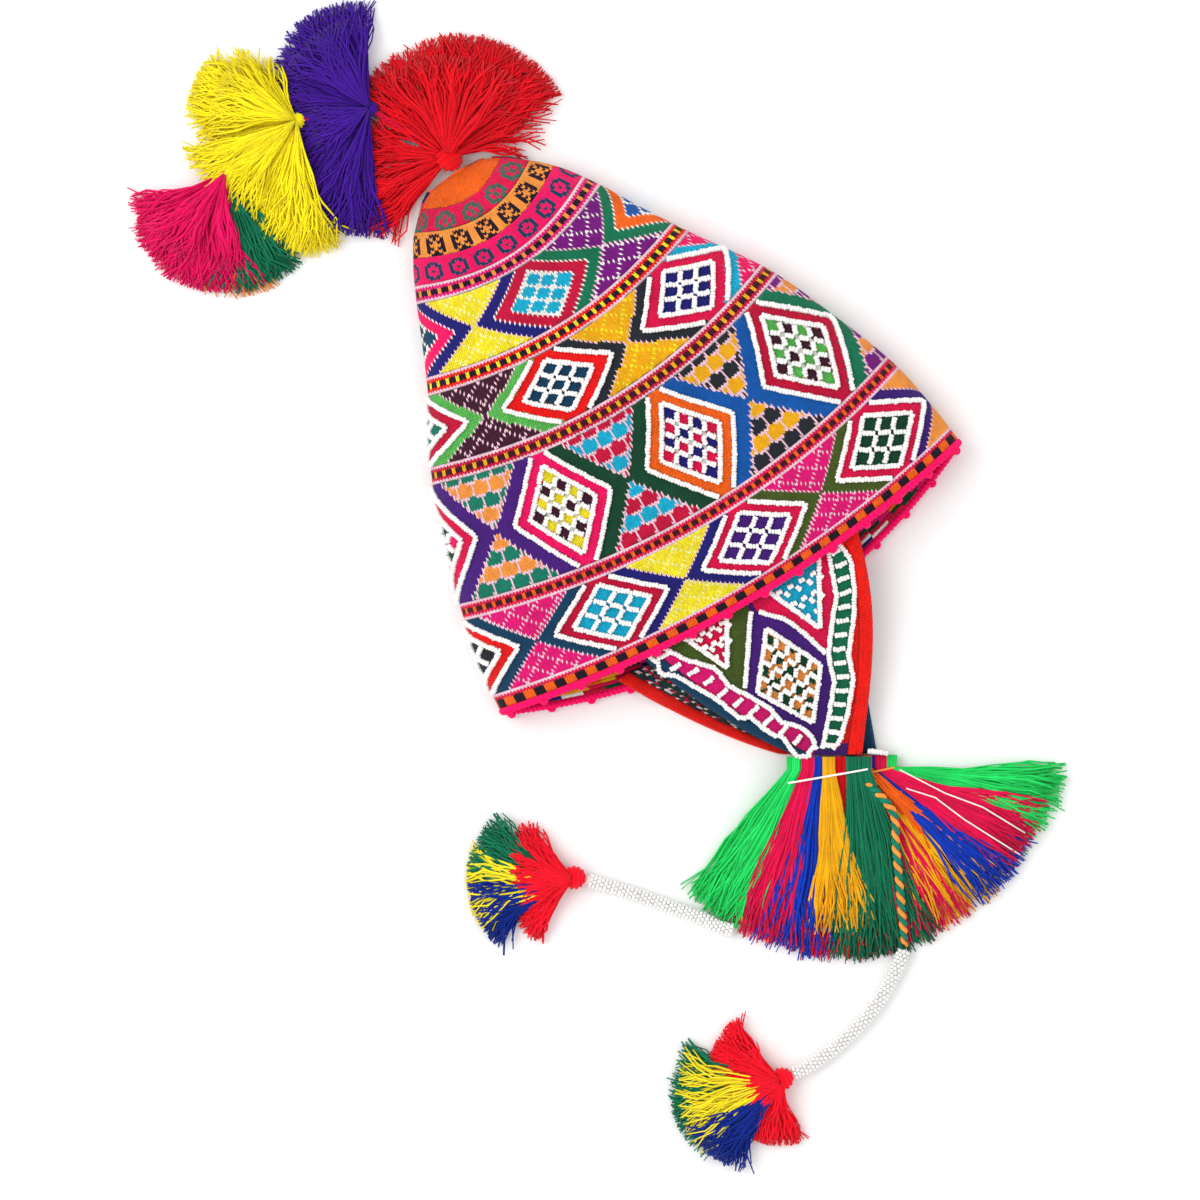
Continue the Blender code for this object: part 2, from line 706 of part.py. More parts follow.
def make_tie(side, tie_route, rope_route, tie_colour):
    """A twisted tie, the beaded rope that it runs into, and the pompom at the rope's end."""
    tie_points = smooth_route(tie_route)
    tie = add_part(f"{side}_tie", tube_curve(tie_points, [1.0] * len(tie_points), TIE_RADIUS, resolution=2))
    paint(tie, f"{side} tie yarn", tie_colour)
    rope_points = smooth_route(rope_route)
    rope = tube_curve(rope_points, [1.0] * len(rope_points), ROPE_RADIUS, resolution=2)
    paint(add_part(f"{side}_beaded_rope", rope), "seed beads", (0.9, 0.9, 0.87), roughness=0.3)
    end, before = rope_points[-1], rope_points[-2]
    along = (end - before).normalized()
    centre = end + along * (KNOT_RADIUS + GAP)
    centre.z = KNOT_RADIUS + GAP
    locks = [lock._replace(bearing=lock.bearing + POMPOM_AXES[side]) for lock in POMPOM_LOCKS]
    pompom = make_tassel(
        f"{side}_pompom", centre, KNOT_RADIUS, locks, POMPOM_LENGTH, POMPOM_LOCK_RADIUS
    )
    paint(pompom, f"{side} pompom yarn", (0.60, 0.05, 0.04))


if __name__ == "__main__":
    start_scene()
    make_crown()
    make_rim_edging()
    make_flap("near", NEAR_FLAP, near=True)
    make_flap("far", FAR_FLAP, near=False)
    make_fringe("near", NEAR_FLAP, True, NEAR_FRINGE, (0.05, 0.45, 0.08))
    make_fringe("far", FAR_FLAP, False, FAR_FRINGE, (0.85, 0.40, 0.03))
    make_tip_tassels()
    make_tie("left", LEFT_TIE, LEFT_ROPE, (0.85, 0.30, 0.03))
    make_tie("right", RIGHT_TIE, RIGHT_ROPE, (0.90, 0.35, 0.04))
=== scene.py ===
import math

import bpy
import numpy as np
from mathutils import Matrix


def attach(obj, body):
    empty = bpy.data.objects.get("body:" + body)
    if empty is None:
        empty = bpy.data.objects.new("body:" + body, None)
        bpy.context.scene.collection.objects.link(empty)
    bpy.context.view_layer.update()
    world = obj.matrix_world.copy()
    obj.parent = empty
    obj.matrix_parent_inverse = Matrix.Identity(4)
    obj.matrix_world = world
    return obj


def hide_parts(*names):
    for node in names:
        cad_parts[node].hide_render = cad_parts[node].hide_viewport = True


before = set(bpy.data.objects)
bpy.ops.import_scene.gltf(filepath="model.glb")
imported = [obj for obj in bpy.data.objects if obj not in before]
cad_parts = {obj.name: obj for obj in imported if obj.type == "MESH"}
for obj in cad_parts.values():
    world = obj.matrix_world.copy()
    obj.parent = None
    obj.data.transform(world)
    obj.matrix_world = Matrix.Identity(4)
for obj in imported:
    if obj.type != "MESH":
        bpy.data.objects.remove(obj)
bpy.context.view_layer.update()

# Camera: straight above the cap as it lies, turned so that the tip points to the upper left, with
# a long lens, as a product table is photographed.
bpy.ops.object.camera_add(
    location=(-0.0594, 0.0224, 1.95), rotation=(0.0, 0.0, math.radians(-32.33))
)
camera = bpy.context.object
camera.name = "table_camera"
camera.data.lens = 120.0
camera.data.sensor_width = 36.0
bpy.context.scene.camera = camera

# Floor and light: a white paper sweep under a wide soft box and an even bright surround. Neither
# belongs to the cap.


def add_node(tree, kind, values=(), **settings):
    """A shader node with settings of its own and values for its inputs, by name or number."""
    node = tree.nodes.new(kind)
    for setting, value in settings.items():
        setattr(node, setting, value)
    for socket, value in dict(values).items():
        node.inputs[socket].default_value = value
    return node


def wire(tree, *wires):
    """Wires, each given as a node, its output, the node that it feeds and that one's input."""
    for source, output, fed, socket in wires:
        tree.links.new(source.outputs[output], fed.inputs[socket])


def new_finish(name, values):
    """A material with its node tree and its shader, which is given the values."""
    finish = bpy.data.materials.new(name)
    finish.use_nodes = True
    shader = finish.node_tree.nodes["Principled BSDF"]
    for socket, value in values.items():
        shader.inputs[socket].default_value = value
    return finish, finish.node_tree, shader


def tone_ramp(tree, *stops):
    """A ramp between two stops, each a place from 0 to 1 and a colour."""
    ramp = add_node(tree, "ShaderNodeValToRGB")
    for stop, (place, tone) in zip(ramp.color_ramp.elements, stops):
        stop.position = place
        stop.color = (*tone, 1.0)
    return ramp


bpy.ops.mesh.primitive_plane_add(size=8.0, location=(0.0, 0.0, 0.0))
paper = bpy.context.object
paper.name = "paper_sweep"
paper_finish, paper_tree, paper_shader = new_finish(
    "white_paper", {"Roughness": 0.9, "Specular IOR Level": 0.0}
)
paper_grain = add_node(paper_tree, "ShaderNodeTexNoise", {"Scale": 3.0})
paper_tone = tone_ramp(paper_tree, (0.0, (0.93, 0.93, 0.93)), (1.0, (0.96, 0.96, 0.96)))
wire(
    paper_tree, (paper_grain, "Fac", paper_tone, "Fac"),
    (paper_tone, "Color", paper_shader, "Base Color"),
)
paper.data.materials.append(paper_finish)

bpy.ops.object.light_add(type="AREA", location=(-0.9, 0.9, 1.6))
soft_box = bpy.context.object
soft_box.name = "soft_box"
soft_box.data.shape = "SQUARE"
soft_box.data.size = 1.3
soft_box.data.energy = 16.0
soft_box.rotation_euler = (math.radians(-38.0), math.radians(-24.0), math.radians(20.0))
surround = bpy.data.worlds.new("bright_surround")
surround.use_nodes = True
background = surround.node_tree.nodes["Background"]
background.inputs["Color"].default_value = (1.0, 1.0, 1.0, 1.0)
background.inputs["Strength"].default_value = 0.97
bpy.context.scene.world = surround
bpy.context.scene.view_settings.view_transform = "Standard"

# Two ties: each is two plies of wool, one light orange and one teal, twisted into a limp cord that
# runs from a flap's tip to a beaded rope.


def light_of(dye):
    """A dye, given as it looks on a screen, as light."""
    shares = np.array(dye) / 255.0
    return tuple(np.where(shares <= 0.04045, shares / 12.92, ((shares + 0.055) / 1.055) ** 2.4))


# Dyes as they look on a screen, from 0 to 255: red, green, blue.
DYES = {
    "white": (250, 246, 240), "pale pink": (250, 205, 220), "crimson": (234, 8, 78),
    "dark crimson": (206, 8, 60), "red": (250, 16, 16), "scarlet": (255, 22, 8),
    "hot pink": (255, 8, 104), "magenta": (236, 10, 120), "orange": (255, 104, 16),
    "light orange": (255, 156, 66), "golden": (252, 180, 10), "yellow": (254, 234, 40),
    "cyan": (12, 176, 214), "blue": (8, 90, 176), "navy": (28, 26, 120), "indigo": (60, 22, 120),
    "dark teal": (10, 64, 98), "teal": (14, 128, 104), "green": (10, 120, 84),
    "dark green": (10, 70, 44), "light green": (92, 190, 84), "bright green": (36, 226, 104),
    "olive": (72, 92, 30), "purple": (124, 10, 130), "violet": (74, 24, 128), "plum": (66, 20, 44),
    "charcoal": (34, 40, 48), "black": (28, 12, 34), "grey green": (72, 104, 92),
    "blood red": (232, 4, 26), "pale yellow": (255, 250, 170), "maroon": (66, 6, 26),
    "pompom red": (252, 10, 40), "royal blue": (6, 58, 190), "deep blue": (4, 38, 140),
    "royal purple": (66, 16, 150), "bright yellow": (255, 236, 24), "cerise": (236, 4, 96),
}
WOOLS = {name: light_of(dye) for name, dye in DYES.items()}


def wool_fibre_group():
    """Fine fibres over a yarn's own colour: streaks of lighter and darker wool, and their relief."""
    group = bpy.data.node_groups.new("wool_fibre", "ShaderNodeTree")
    face = group.interface
    face.new_socket("Colour", in_out="INPUT", socket_type="NodeSocketColor")
    face.new_socket("Fineness", in_out="INPUT", socket_type="NodeSocketFloat")
    face.new_socket("Variation", in_out="INPUT", socket_type="NodeSocketFloat")
    face.new_socket("Colour", in_out="OUTPUT", socket_type="NodeSocketColor")
    face.new_socket("Relief", in_out="OUTPUT", socket_type="NodeSocketFloat")
    given, made = add_node(group, "NodeGroupInput"), add_node(group, "NodeGroupOutput")
    place = add_node(group, "ShaderNodeTexCoord")
    fibres = add_node(group, "ShaderNodeTexNoise", {"Detail": 3.0})
    patches = add_node(group, "ShaderNodeTexNoise", {"Scale": 90.0})
    both = add_node(group, "ShaderNodeMath", operation="ADD")
    centred = add_node(group, "ShaderNodeMath", {1: 1.0}, operation="SUBTRACT")
    scaled = add_node(group, "ShaderNodeMath", {2: 1.0}, operation="MULTIPLY_ADD")
    tone = add_node(group, "ShaderNodeVectorMath", operation="SCALE")
    wire(
        group,
        (place, "Object", fibres, "Vector"), (place, "Object", patches, "Vector"),
        (given, "Fineness", fibres, "Scale"), (fibres, "Fac", both, 0), (patches, "Fac", both, 1),
        (both, 0, centred, 0), (centred, 0, scaled, 0), (given, "Variation", scaled, 1),
        (given, "Colour", tone, 0), (scaled, 0, tone, "Scale"),
        (tone, "Vector", made, "Colour"), (fibres, "Fac", made, "Relief"),
    )
    return group


WOOL_FIBRE = wool_fibre_group()


def yarn_finish(name, fineness, variation, relief=0.00025, sheen=0.1):
    """Loose wool in the colours of the piece's yarn attribute."""
    finish, tree, shader = new_finish(name, {
        "Roughness": 0.82, "Specular IOR Level": 0.15, "Sheen Weight": sheen, "Sheen Roughness": 0.45,
    })
    dyed = add_node(tree, "ShaderNodeAttribute", attribute_name="yarn")
    fibre = add_node(
        tree, "ShaderNodeGroup", {"Fineness": fineness, "Variation": variation}, node_tree=WOOL_FIBRE
    )
    bump = add_node(tree, "ShaderNodeBump", {"Strength": 0.6, "Distance": relief})
    wire(
        tree, (dyed, "Color", fibre, "Colour"), (fibre, "Colour", shader, "Base Color"),
        (fibre, "Relief", bump, "Height"), (bump, "Normal", shader, "Normal"),
    )
    return finish


def small_shape(obj):
    """The points and faces of a small modelled shape, which is then taken away."""
    mesh = obj.data
    points = np.empty(len(mesh.vertices) * 3)
    mesh.vertices.foreach_get("co", points)
    corners = np.empty(len(mesh.loops), dtype=np.int32)
    mesh.loops.foreach_get("vertex_index", corners)
    starts = np.empty(len(mesh.polygons), dtype=np.int32)
    mesh.polygons.foreach_get("loop_start", starts)
    bpy.data.objects.remove(obj)
    return points.reshape(-1, 3), corners, starts


def new_piece(name, points, corners, starts, finish, slot):
    """A smooth mesh object, riding on the cap, with its finish; slot is not used."""
    mesh = bpy.data.meshes.new(name)
    mesh.vertices.add(len(points))
    mesh.vertices.foreach_set("co", np.ascontiguousarray(points, dtype=np.float32).ravel())
    mesh.loops.add(len(corners))
    mesh.loops.foreach_set("vertex_index", np.ascontiguousarray(corners, dtype=np.int32))
    mesh.polygons.add(len(starts))
    mesh.polygons.foreach_set("loop_start", np.ascontiguousarray(starts, dtype=np.int32))
    mesh.update(calc_edges=True)
    mesh.polygons.foreach_set("use_smooth", np.ones(len(starts), dtype=bool))
    piece = bpy.data.objects.new(name, mesh)
    bpy.context.collection.objects.link(piece)
    mesh.materials.append(finish)
    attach(piece, "root")
    return piece


def dye(piece, colours, domain="POINT"):
    """Keeps a colour for all, or one for each point or face corner, which the finishes read."""
    layer = piece.data.color_attributes.new("yarn", "FLOAT_COLOR", domain)
    full = np.ones((len(layer.data), 4), dtype=np.float32)
    full[:, :3] = colours
    layer.data.foreach_set("color", full.ravel())


def copies(shape, places):
    """Points, corners and face starts of many copies of a shape, whose points are in places."""
    points, corners, starts = shape
    count = len(places)
    offsets = np.arange(count)[:, None]
    all_corners = (corners[None, :] + offsets * len(points)).ravel()
    all_starts = (starts[None, :] + offsets * len(corners)).ravel()
    return np.asarray(places).reshape(-1, 3), all_corners, all_starts


def joined(parts):
    """Points, corners and face starts of several shapes together."""
    points, corners, starts = [], [], []
    point_count = corner_count = 0
    for part_points, part_corners, part_starts in parts:
        points.append(part_points)
        corners.append(part_corners + point_count)
        starts.append(part_starts + corner_count)
        point_count += len(part_points)
        corner_count += len(part_corners)
    return np.concatenate(points), np.concatenate(corners), np.concatenate(starts)


def straight_yarn(sides, pieces):
    """A round yarn of radius 1 along Z from 0 to 1, cut across into even pieces."""
    bpy.ops.mesh.primitive_cylinder_add(vertices=sides, radius=1.0, depth=1.0, location=(0, 0, 0.5))
    yarn = bpy.context.object
    bpy.ops.object.transform_apply(location=True, rotation=False, scale=False)
    bpy.ops.object.mode_set(mode="EDIT")
    for cut in range(1, pieces):
        bpy.ops.mesh.select_all(action="SELECT")
        bpy.ops.mesh.bisect(plane_co=(0.0, 0.0, cut / pieces), plane_no=(0.0, 0.0, 1.0))
    bpy.ops.object.mode_set(mode="OBJECT")
    return small_shape(yarn)


def unit(ways):
    """Directions with their lengths brought to 1."""
    return ways / (np.linalg.norm(ways, axis=-1, keepdims=True) + 1e-12)


def sides_of(paths):
    """Unit vectors along, beside and above each point of many paths."""
    along = unit(np.gradient(paths, axis=1))
    beside = np.cross(along, (0.0, 0.0, 1.0))
    slanted = np.linalg.norm(beside, axis=2, keepdims=True) > 1e-3
    beside = np.where(slanted, unit(beside), (1.0, 0.0, 0.0))
    return along, beside, np.cross(beside, along)


def lay_yarns(shape, paths, radii):
    """Places for copies of a straight yarn along many paths of as many points each.

    radii holds the yarn's radius at each point of each path.
    """
    points = shape[0]
    paths = np.asarray(paths)
    radii = np.broadcast_to(radii, paths.shape[:2])
    _, beside, above = sides_of(paths)
    station = np.rint(points[:, 2] * (paths.shape[1] - 1)).astype(int)
    turned = points[:, [0]] * beside[:, station] - points[:, [1]] * above[:, station]
    return paths[:, station] + turned * radii[:, station, None]


def yarns_along(sides, paths, radius):
    """Round yarns of one radius along paths of as many points each."""
    yarn = straight_yarn(sides, len(paths[0]) - 1)
    return copies(yarn, lay_yarns(yarn, paths, radius))


def plies_round(middle, beside, above, turns, reach):
    """The paths of two plies wound round a yarn's middle, turns being the angle at each point."""
    paths = []
    for start in (0.0, math.pi):
        angle = (turns + start)[:, None]
        paths.append(middle + reach * (np.cos(angle) * beside + np.sin(angle) * above))
    return paths


def travelled(line):
    """How far along a line each of its points lies."""
    return np.concatenate(([0.0], np.cumsum(np.linalg.norm(np.diff(line, axis=0), axis=1))))


def read_at(at, marks, line):
    """A line's points, or its directions, at given distances along it."""
    return np.stack([np.interp(at, marks, column) for column in np.transpose(line)], axis=-1)


def smooth_route(route, step):
    """Points at about even steps on a smooth curve through a given route."""
    route = np.array(route)
    ends = np.vstack((2 * route[0] - route[1], route, 2 * route[-1] - route[-2]))
    smooth = [route[0]]
    for a, b, c, d in zip(ends, ends[1:], ends[2:], ends[3:]):
        steps = max(1, round(np.linalg.norm(c - b) / step))
        for i in range(1, steps + 1):
            t = i / steps
            smooth.append(0.5 * (
                2 * b + (c - a) * t + (2 * a - 5 * b + 4 * c - d) * t * t
                + (3 * b - 3 * c + d - a) * t ** 3
            ))
    return np.array(smooth)


TIE_ROUTES = {
    "left": (
        (-0.0220, -0.0985, 0.0046), (-0.0265, -0.1010, 0.0046), (-0.0320, -0.1045, 0.0038),
        (-0.0420, -0.1125, 0.0025), (-0.0530, -0.1210, 0.0025), (-0.0650, -0.1305, 0.0025),
        (-0.0770, -0.1395, 0.0025), (-0.0870, -0.1465, 0.0025),
    ),
    "right": (
        (0.0024, -0.1210, 0.0108), (0.0056, -0.1400, 0.0110), (-0.0020, -0.1550, 0.0108),
        (-0.0070, -0.1650, 0.0107), (-0.0121, -0.1750, 0.0104), (-0.0167, -0.1840, 0.0094),
        (-0.0200, -0.1910, 0.0072), (-0.0225, -0.1955, 0.0052), (-0.0245, -0.1990, 0.0040),
    ),
}
TWIST_LENGTH = 0.0075
TIE_PLY_RADIUS = 0.00115
TIE_PLY_REACH = 0.00105
ply_finish = yarn_finish("tie_wool", fineness=1800.0, variation=0.5)
for side, route in TIE_ROUTES.items():
    middle = smooth_route(route, 0.0009)
    path = smooth_route(route, 0.006)
    _, beside, above = sides_of(middle[None])
    turns = 2 * math.pi * travelled(middle) / TWIST_LENGTH
    plies = plies_round(middle, beside[0], above[0], turns, TIE_PLY_REACH)
    tie = new_piece(
        f"{side}_twisted_tie", *yarns_along(8, plies, TIE_PLY_RADIUS), ply_finish, f"{side}_tie_yarn"
    )
    dye(tie, np.repeat([WOOLS["light orange"], WOOLS["teal"]], len(tie.data.vertices) // 2, axis=0))
    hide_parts(f"{side}_tie")

# Cap: one tube of stocking stitch in strong dyed wools, knitted round from the mouth and gathered
# at the tip. Each stitch is two slanted legs, so every colour edge is toothed.
RIM_WIDTH = 0.258
CROWN_LENGTH = 0.236
CROWN_DEPTH = 0.034
KNIT_WALL = 0.0022
FLOOR_CLEARANCE = 0.0032
# Height of the cap's folds as a share of its depth, how full its near side is, how far from the
# folds its far side is rounded, and in how many steps from fold to fold a section is first drawn.
FOLD_LEVEL = 0.3
NEAR_FULLNESS = 0.3
FAR_ROUNDING = 0.3
FOLD_STEPS = 400
# Columns: rise, tilt, left, right, near bow, far bow, depth.
CAP_SECTIONS = np.array((
    (0.000, 0.017, 1.000, 1.000, 0.054, 0.116, 0.86),
    (0.060, 0.020, 0.985, 0.990, 0.064, 0.114, 0.90),
    (0.203, 0.020, 0.925, 0.947, 0.074, 0.104, 0.97),
    (0.350, 0.013, 0.835, 0.850, 0.073, 0.090, 1.00),
    (0.485, 0.006, 0.750, 0.743, 0.070, 0.076, 1.00),
    (0.647, 0.000, 0.588, 0.550, 0.052, 0.056, 0.96),
    (0.735, 0.000, 0.510, 0.455, 0.052, 0.052, 0.92),
    (0.820, -0.003, 0.442, 0.366, 0.052, 0.050, 0.86),
    (0.894, -0.004, 0.371, 0.270, 0.054, 0.048, 0.78),
    (0.936, 0.000, 0.313, 0.200, 0.046, 0.042, 0.68),
    (0.970, -0.002, 0.241, 0.117, 0.035, 0.032, 0.52),
    (0.988, 0.000, 0.190, 0.060, 0.018, 0.016, 0.36),
    (0.998, 0.000, 0.110, 0.010, 0.004, 0.004, 0.24),
    (1.000, 0.000, 0.052, -0.048, 0.000, 0.000, 0.20),
))
RIM_TILT, NEAR_BOW, FAR_BOW, RIM_DEPTH = CAP_SECTIONS[0, [1, 4, 5, 6]]
# Shallow dents in the near side. Columns: rise, across, reach, depth.
CAP_DENTS = (
    (0.72, 0.30, 0.12, 0.07),
    (0.52, -0.45, 0.13, 0.06),
    (0.30, 0.25, 0.14, 0.05),
    (0.12, -0.35, 0.12, 0.05),
    (0.16, 0.72, 0.12, 0.06),
)


def cap_table(rises, steps):
    """Points of the cap's outer face by rise and by share round it, near layer first."""
    rows = CAP_SECTIONS
    slopes = np.gradient(rows[:, 1:], rows[:, 0], axis=0)
    segment = np.clip(np.searchsorted(rows[:, 0], rises, side="right") - 1, 0, len(rows) - 2)
    span = (rows[segment + 1, 0] - rows[segment, 0])[:, None]
    t = (rises - rows[segment, 0])[:, None] / span
    values = (
        (2 * t**3 - 3 * t**2 + 1) * rows[segment, 1:] + (t**3 - 2 * t**2 + t) * span * slopes[segment]
        + (3 * t**2 - 2 * t**3) * rows[segment + 1, 1:] + (t**3 - t**2) * span * slopes[segment + 1]
    )
    tilt, left, right, near_bow, far_bow, depth = (values[:, [i]] for i in range(6))
    across = -np.cos(np.linspace(0.0, math.pi, FOLD_STEPS + 1))[None, :]
    crest = np.maximum(0.0, 1.0 - across**2)
    x = (right - left) * RIM_WIDTH / 4 + (left + right) * RIM_WIDTH / 4 * across
    level = (rises[:, None] - tilt * across) * CROWN_LENGTH
    full = depth * CROWN_DEPTH
    fold = FOLD_LEVEL * full
    near = fold + (full - fold) * crest**NEAR_FULLNESS
    for rise, aside, reach, sunk in CAP_DENTS:
        off = (rises[:, None] - rise) ** 2 + ((across - aside) / 2) ** 2
        near = near - sunk * CROWN_DEPTH * np.exp(-off / reach**2) * crest
    far = fold * np.maximum(0.0, 1.0 - np.sqrt(crest) / FAR_ROUNDING) ** 2
    far = np.sqrt(far**2 + FLOOR_CLEARANCE**2 * np.minimum(1.0, crest * 12))
    sheets = []
    for height, bow in ((near, near_bow), (far, far_bow)):
        sheet = np.stack((x, level - bow * RIM_WIDTH * crest, height), axis=2)
        length = np.cumsum(np.linalg.norm(np.diff(sheet, axis=1), axis=2), axis=1)
        length = np.hstack((np.zeros((len(rises), 1)), length)) / (length[:, -1:] + 1e-9)
        even = np.linspace(0.0, 1.0, steps // 2 + 1)
        at = np.stack([np.interp(even, row, np.arange(FOLD_STEPS + 1)) for row in length])
        low = np.clip(at.astype(int), 0, FOLD_STEPS - 1)
        part = (at - low)[..., None]
        row = np.arange(len(rises))[:, None]
        sheets.append(sheet[row, low] * (1 - part) + sheet[row, low + 1] * part)
    return np.concatenate((sheets[0], sheets[1][:, ::-1][:, 1:]), axis=1)


TABLE_RISES = np.concatenate((np.linspace(0.0, 0.93, 160), np.linspace(0.932, 1.0, 60)))
TABLE_STEPS = 720
CAP_TABLE = cap_table(TABLE_RISES, TABLE_STEPS)
round_way = np.gradient(CAP_TABLE, axis=1)
round_way[:, 0] = round_way[:, -1] = CAP_TABLE[:, 1] - CAP_TABLE[:, -2]
rise_way = np.gradient(CAP_TABLE, TABLE_RISES, axis=0)
CAP_NORMALS = unit(np.cross(round_way, rise_way))
CAP_NORMALS[-1] = (0.0, 1.0, 0.0)


def on_cap(rise, around):
    """Points of the cap's outer face and the directions out of it."""
    row = np.interp(rise, TABLE_RISES, np.arange(len(TABLE_RISES)))
    column = np.mod(around, 1.0) * TABLE_STEPS
    i = np.minimum(row.astype(int), len(TABLE_RISES) - 2)
    j = np.minimum(column.astype(int), TABLE_STEPS - 1)
    s, t = (row - i)[..., None], (column - j)[..., None]
    found = [
        (table[i, j] * (1 - t) + table[i, j + 1] * t) * (1 - s)
        + (table[i + 1, j] * (1 - t) + table[i + 1, j + 1] * t) * s
        for table in (CAP_TABLE, CAP_NORMALS)
    ]
    return found[0], unit(found[1])


ROSETTE = ("..ooo..", ".oo.oo.", ".o...o.", ".o.o.o.", ".o...o.", ".oo.oo.", "..ooo..")
FLOWER = ("..ooo..", ".o.o.o.", ".oo.oo.", ".o...o.", ".oo.oo.", ".o.o.o.", "..ooo..")
BUD = ("..ooo..", ".oo.oo.", ".o.o.o.", ".o.o.o.", ".oo.oo.", "..ooo..")


def motif(chart, ground, figure, rows):
    """A repeated small figure on a plain ground, in the middle of its rows."""

    def stitch(column, row, leg):
        line = row - (rows - len(chart)) // 2
        inside = 0 <= line < len(chart) and chart[len(chart) - 1 - line][column % 7] == "o"
        return figure if inside else ground

    return stitch


def dashes(ground, dash, gap):
    """Six rows: pale, ground, two of dashes, ground, pale."""

    def stitch(column, row, leg):
        if row in (0, 5):
            return "pale pink"
        if row in (1, 4):
            return ground
        return dash if column % 3 == 2 else gap

    return stitch


def blocks(first, second, column, row, leg):
    """Brick-laid blocks, five stitches wide and five rows high, each clipped at its corners."""
    course, line = divmod(row, 5)
    place = (column + 2 * (course % 2)) % 5
    clipped = place in (0, 3, 4) if line == 4 else place == 4 and line == 0
    if clipped or (place == 4 and leg):
        return "pale pink"
    return first if course % 2 else second


class Band:
    """A band of lozenges. Sizes across are in stitches, from the outer line inwards.

    lozenges holds, from the left fold round the cap, each lozenge's ring, field and second field
    wool, and crosses the wools of the cross after it: arms, triangle, second, triangle's style.
    """

    def __init__(self, start, end, rows, repeats, width, arm, ring, cells, beaded, lozenges, crosses):
        self.start, self.end, self.rows, self.repeats, self.width = start, end, rows, repeats, width
        self.arm, self.ring, self.cells, self.beaded = arm, ring, cells, beaded
        self.lozenges, self.crosses = lozenges, crosses
        self.spread = 0.62 * width / rows
        self.line = 1.2 if beaded else 0.8

    def knitted(self):
        """The band's row in the table of knitted bands."""
        return self.start, self.rows, self.width * self.repeats, self.stitch

    def stitch(self, column, row, leg):
        """The wool of one leg of a stitch: leg is 0 for the left one and 1 for the right one."""
        turn = (column + 0.5) / self.width
        nearest = math.floor(turn + 0.5)
        aside = (turn - nearest) * self.width
        up = row + 0.5 - self.rows / 2
        cross = math.floor(turn) % self.repeats
        arm_wool, triangle, second, style = self.crosses[cross % len(self.crosses)]
        ring_wool, field, other = self.lozenges[nearest % self.repeats % len(self.lozenges)]
        depth = self.width / 2 - abs(aside) - self.spread * abs(up)
        toothed = leg == (0 if aside > 0 else 1)
        if depth < 0:
            if depth > -1.0 and toothed:
                return "pale pink"
            if style == "plain":
                return triangle
            if style == "blocks":
                return blocks(triangle, second, column, row, leg)
            lined = (column + row) % 7 == 0 if leg else (column - row) % 7 == 0
            return second if lined else triangle
        for outer, colour in ((self.arm, arm_wool), (self.arm + self.line + self.ring, ring_wool)):
            if depth < outer:
                return colour
            if depth < outer + self.line:
                return "white" if toothed and not self.beaded else colour
        if other is None:
            return field
        half = self.width / 2 - self.arm - self.line - self.ring - 1.0
        one = (aside + self.spread * up + half) / (2 * half) * self.cells
        two = (aside - self.spread * up + half) / (2 * half) * self.cells
        off = max(abs(one % 1.0 - 0.5), abs(two % 1.0 - 0.5))
        if off > (0.43 if self.beaded else 0.45):
            return "white"
        return field if (math.floor(one) + math.floor(two)) % 2 else other


# Columns: first and last rise, rows, lozenges round the cap, stitches to each, widths of its arm and
# its ring, cells along its field, whether it is beaded, the wools of the lozenges and the crosses.
LOZENGE_BANDS = {
    "lowest": Band(
        0.030, 0.188, 27, 7, 44, 4.6, 4.2, 3, True,
        (("red", "charcoal", None), ("dark crimson", "cyan", None), ("crimson", "violet", None),
         ("crimson", "dark green", None), ("hot pink", "navy", None), ("orange", "teal", None),
         ("red", "indigo", None)),
        (("dark teal", "magenta", "pale pink", "lattice"), ("navy", "yellow", "pale yellow", "lattice"),
         ("olive", "magenta", "pale pink", "lattice"), ("indigo", "light orange", None, "plain"),
         ("dark green", "golden", None, "plain"), ("blue", "hot pink", "pale pink", "lattice"),
         ("plum", "light green", None, "plain")),
    ),
    "tall": Band(
        0.223, 0.4705, 42, 7, 40, 5.0, 3.4, 4, True,
        (("crimson", "dark green", "hot pink"), ("hot pink", "yellow", "plum"),
         ("orange", "navy", "crimson"), ("dark crimson", "light green", "plum"),
         ("red", "cyan", "navy"), ("magenta", "golden", "dark green"),
         ("crimson", "light orange", "indigo")),
        (("violet", "light orange", "teal", "blocks"), ("dark green", "cyan", "dark crimson", "blocks"),
         ("blue", "golden", "charcoal", "blocks"), ("green", "light orange", "purple", "blocks"),
         ("charcoal", "light green", "magenta", "blocks"), ("navy", "yellow", "red", "blocks"),
         ("olive", "hot pink", "teal", "blocks")),
    ),
    "middle": Band(
        0.5055, 0.6352, 22, 5, 42, 4.2, 4.8, 3, True,
        (("dark crimson", "teal", None), ("red", "dark teal", None), ("crimson", "navy", None),
         ("orange", "dark green", None), ("hot pink", "indigo", None)),
        (("light green", "plum", "pale pink", "lattice"), ("charcoal", "golden", "yellow", "lattice"),
         ("cyan", "hot pink", "pale pink", "lattice"), ("violet", "light orange", None, "plain"),
         ("dark green", "magenta", "pale pink", "lattice")),
    ),
    "upper": Band(
        0.6702, 0.8105, 24, 4, 40, 4.4, 4.4, 3, False,
        (("hot pink", "dark teal", "dark teal"), ("dark crimson", "cyan", "cyan"),
         ("orange", "blue", "blue"), ("crimson", "light green", "light green")),
        (("navy", "yellow", "pale yellow", "lattice"), ("green", "purple", "white", "lattice"),
         ("dark green", "golden", "yellow", "lattice"), ("plum", "light orange", None, "plain")),
    ),
}


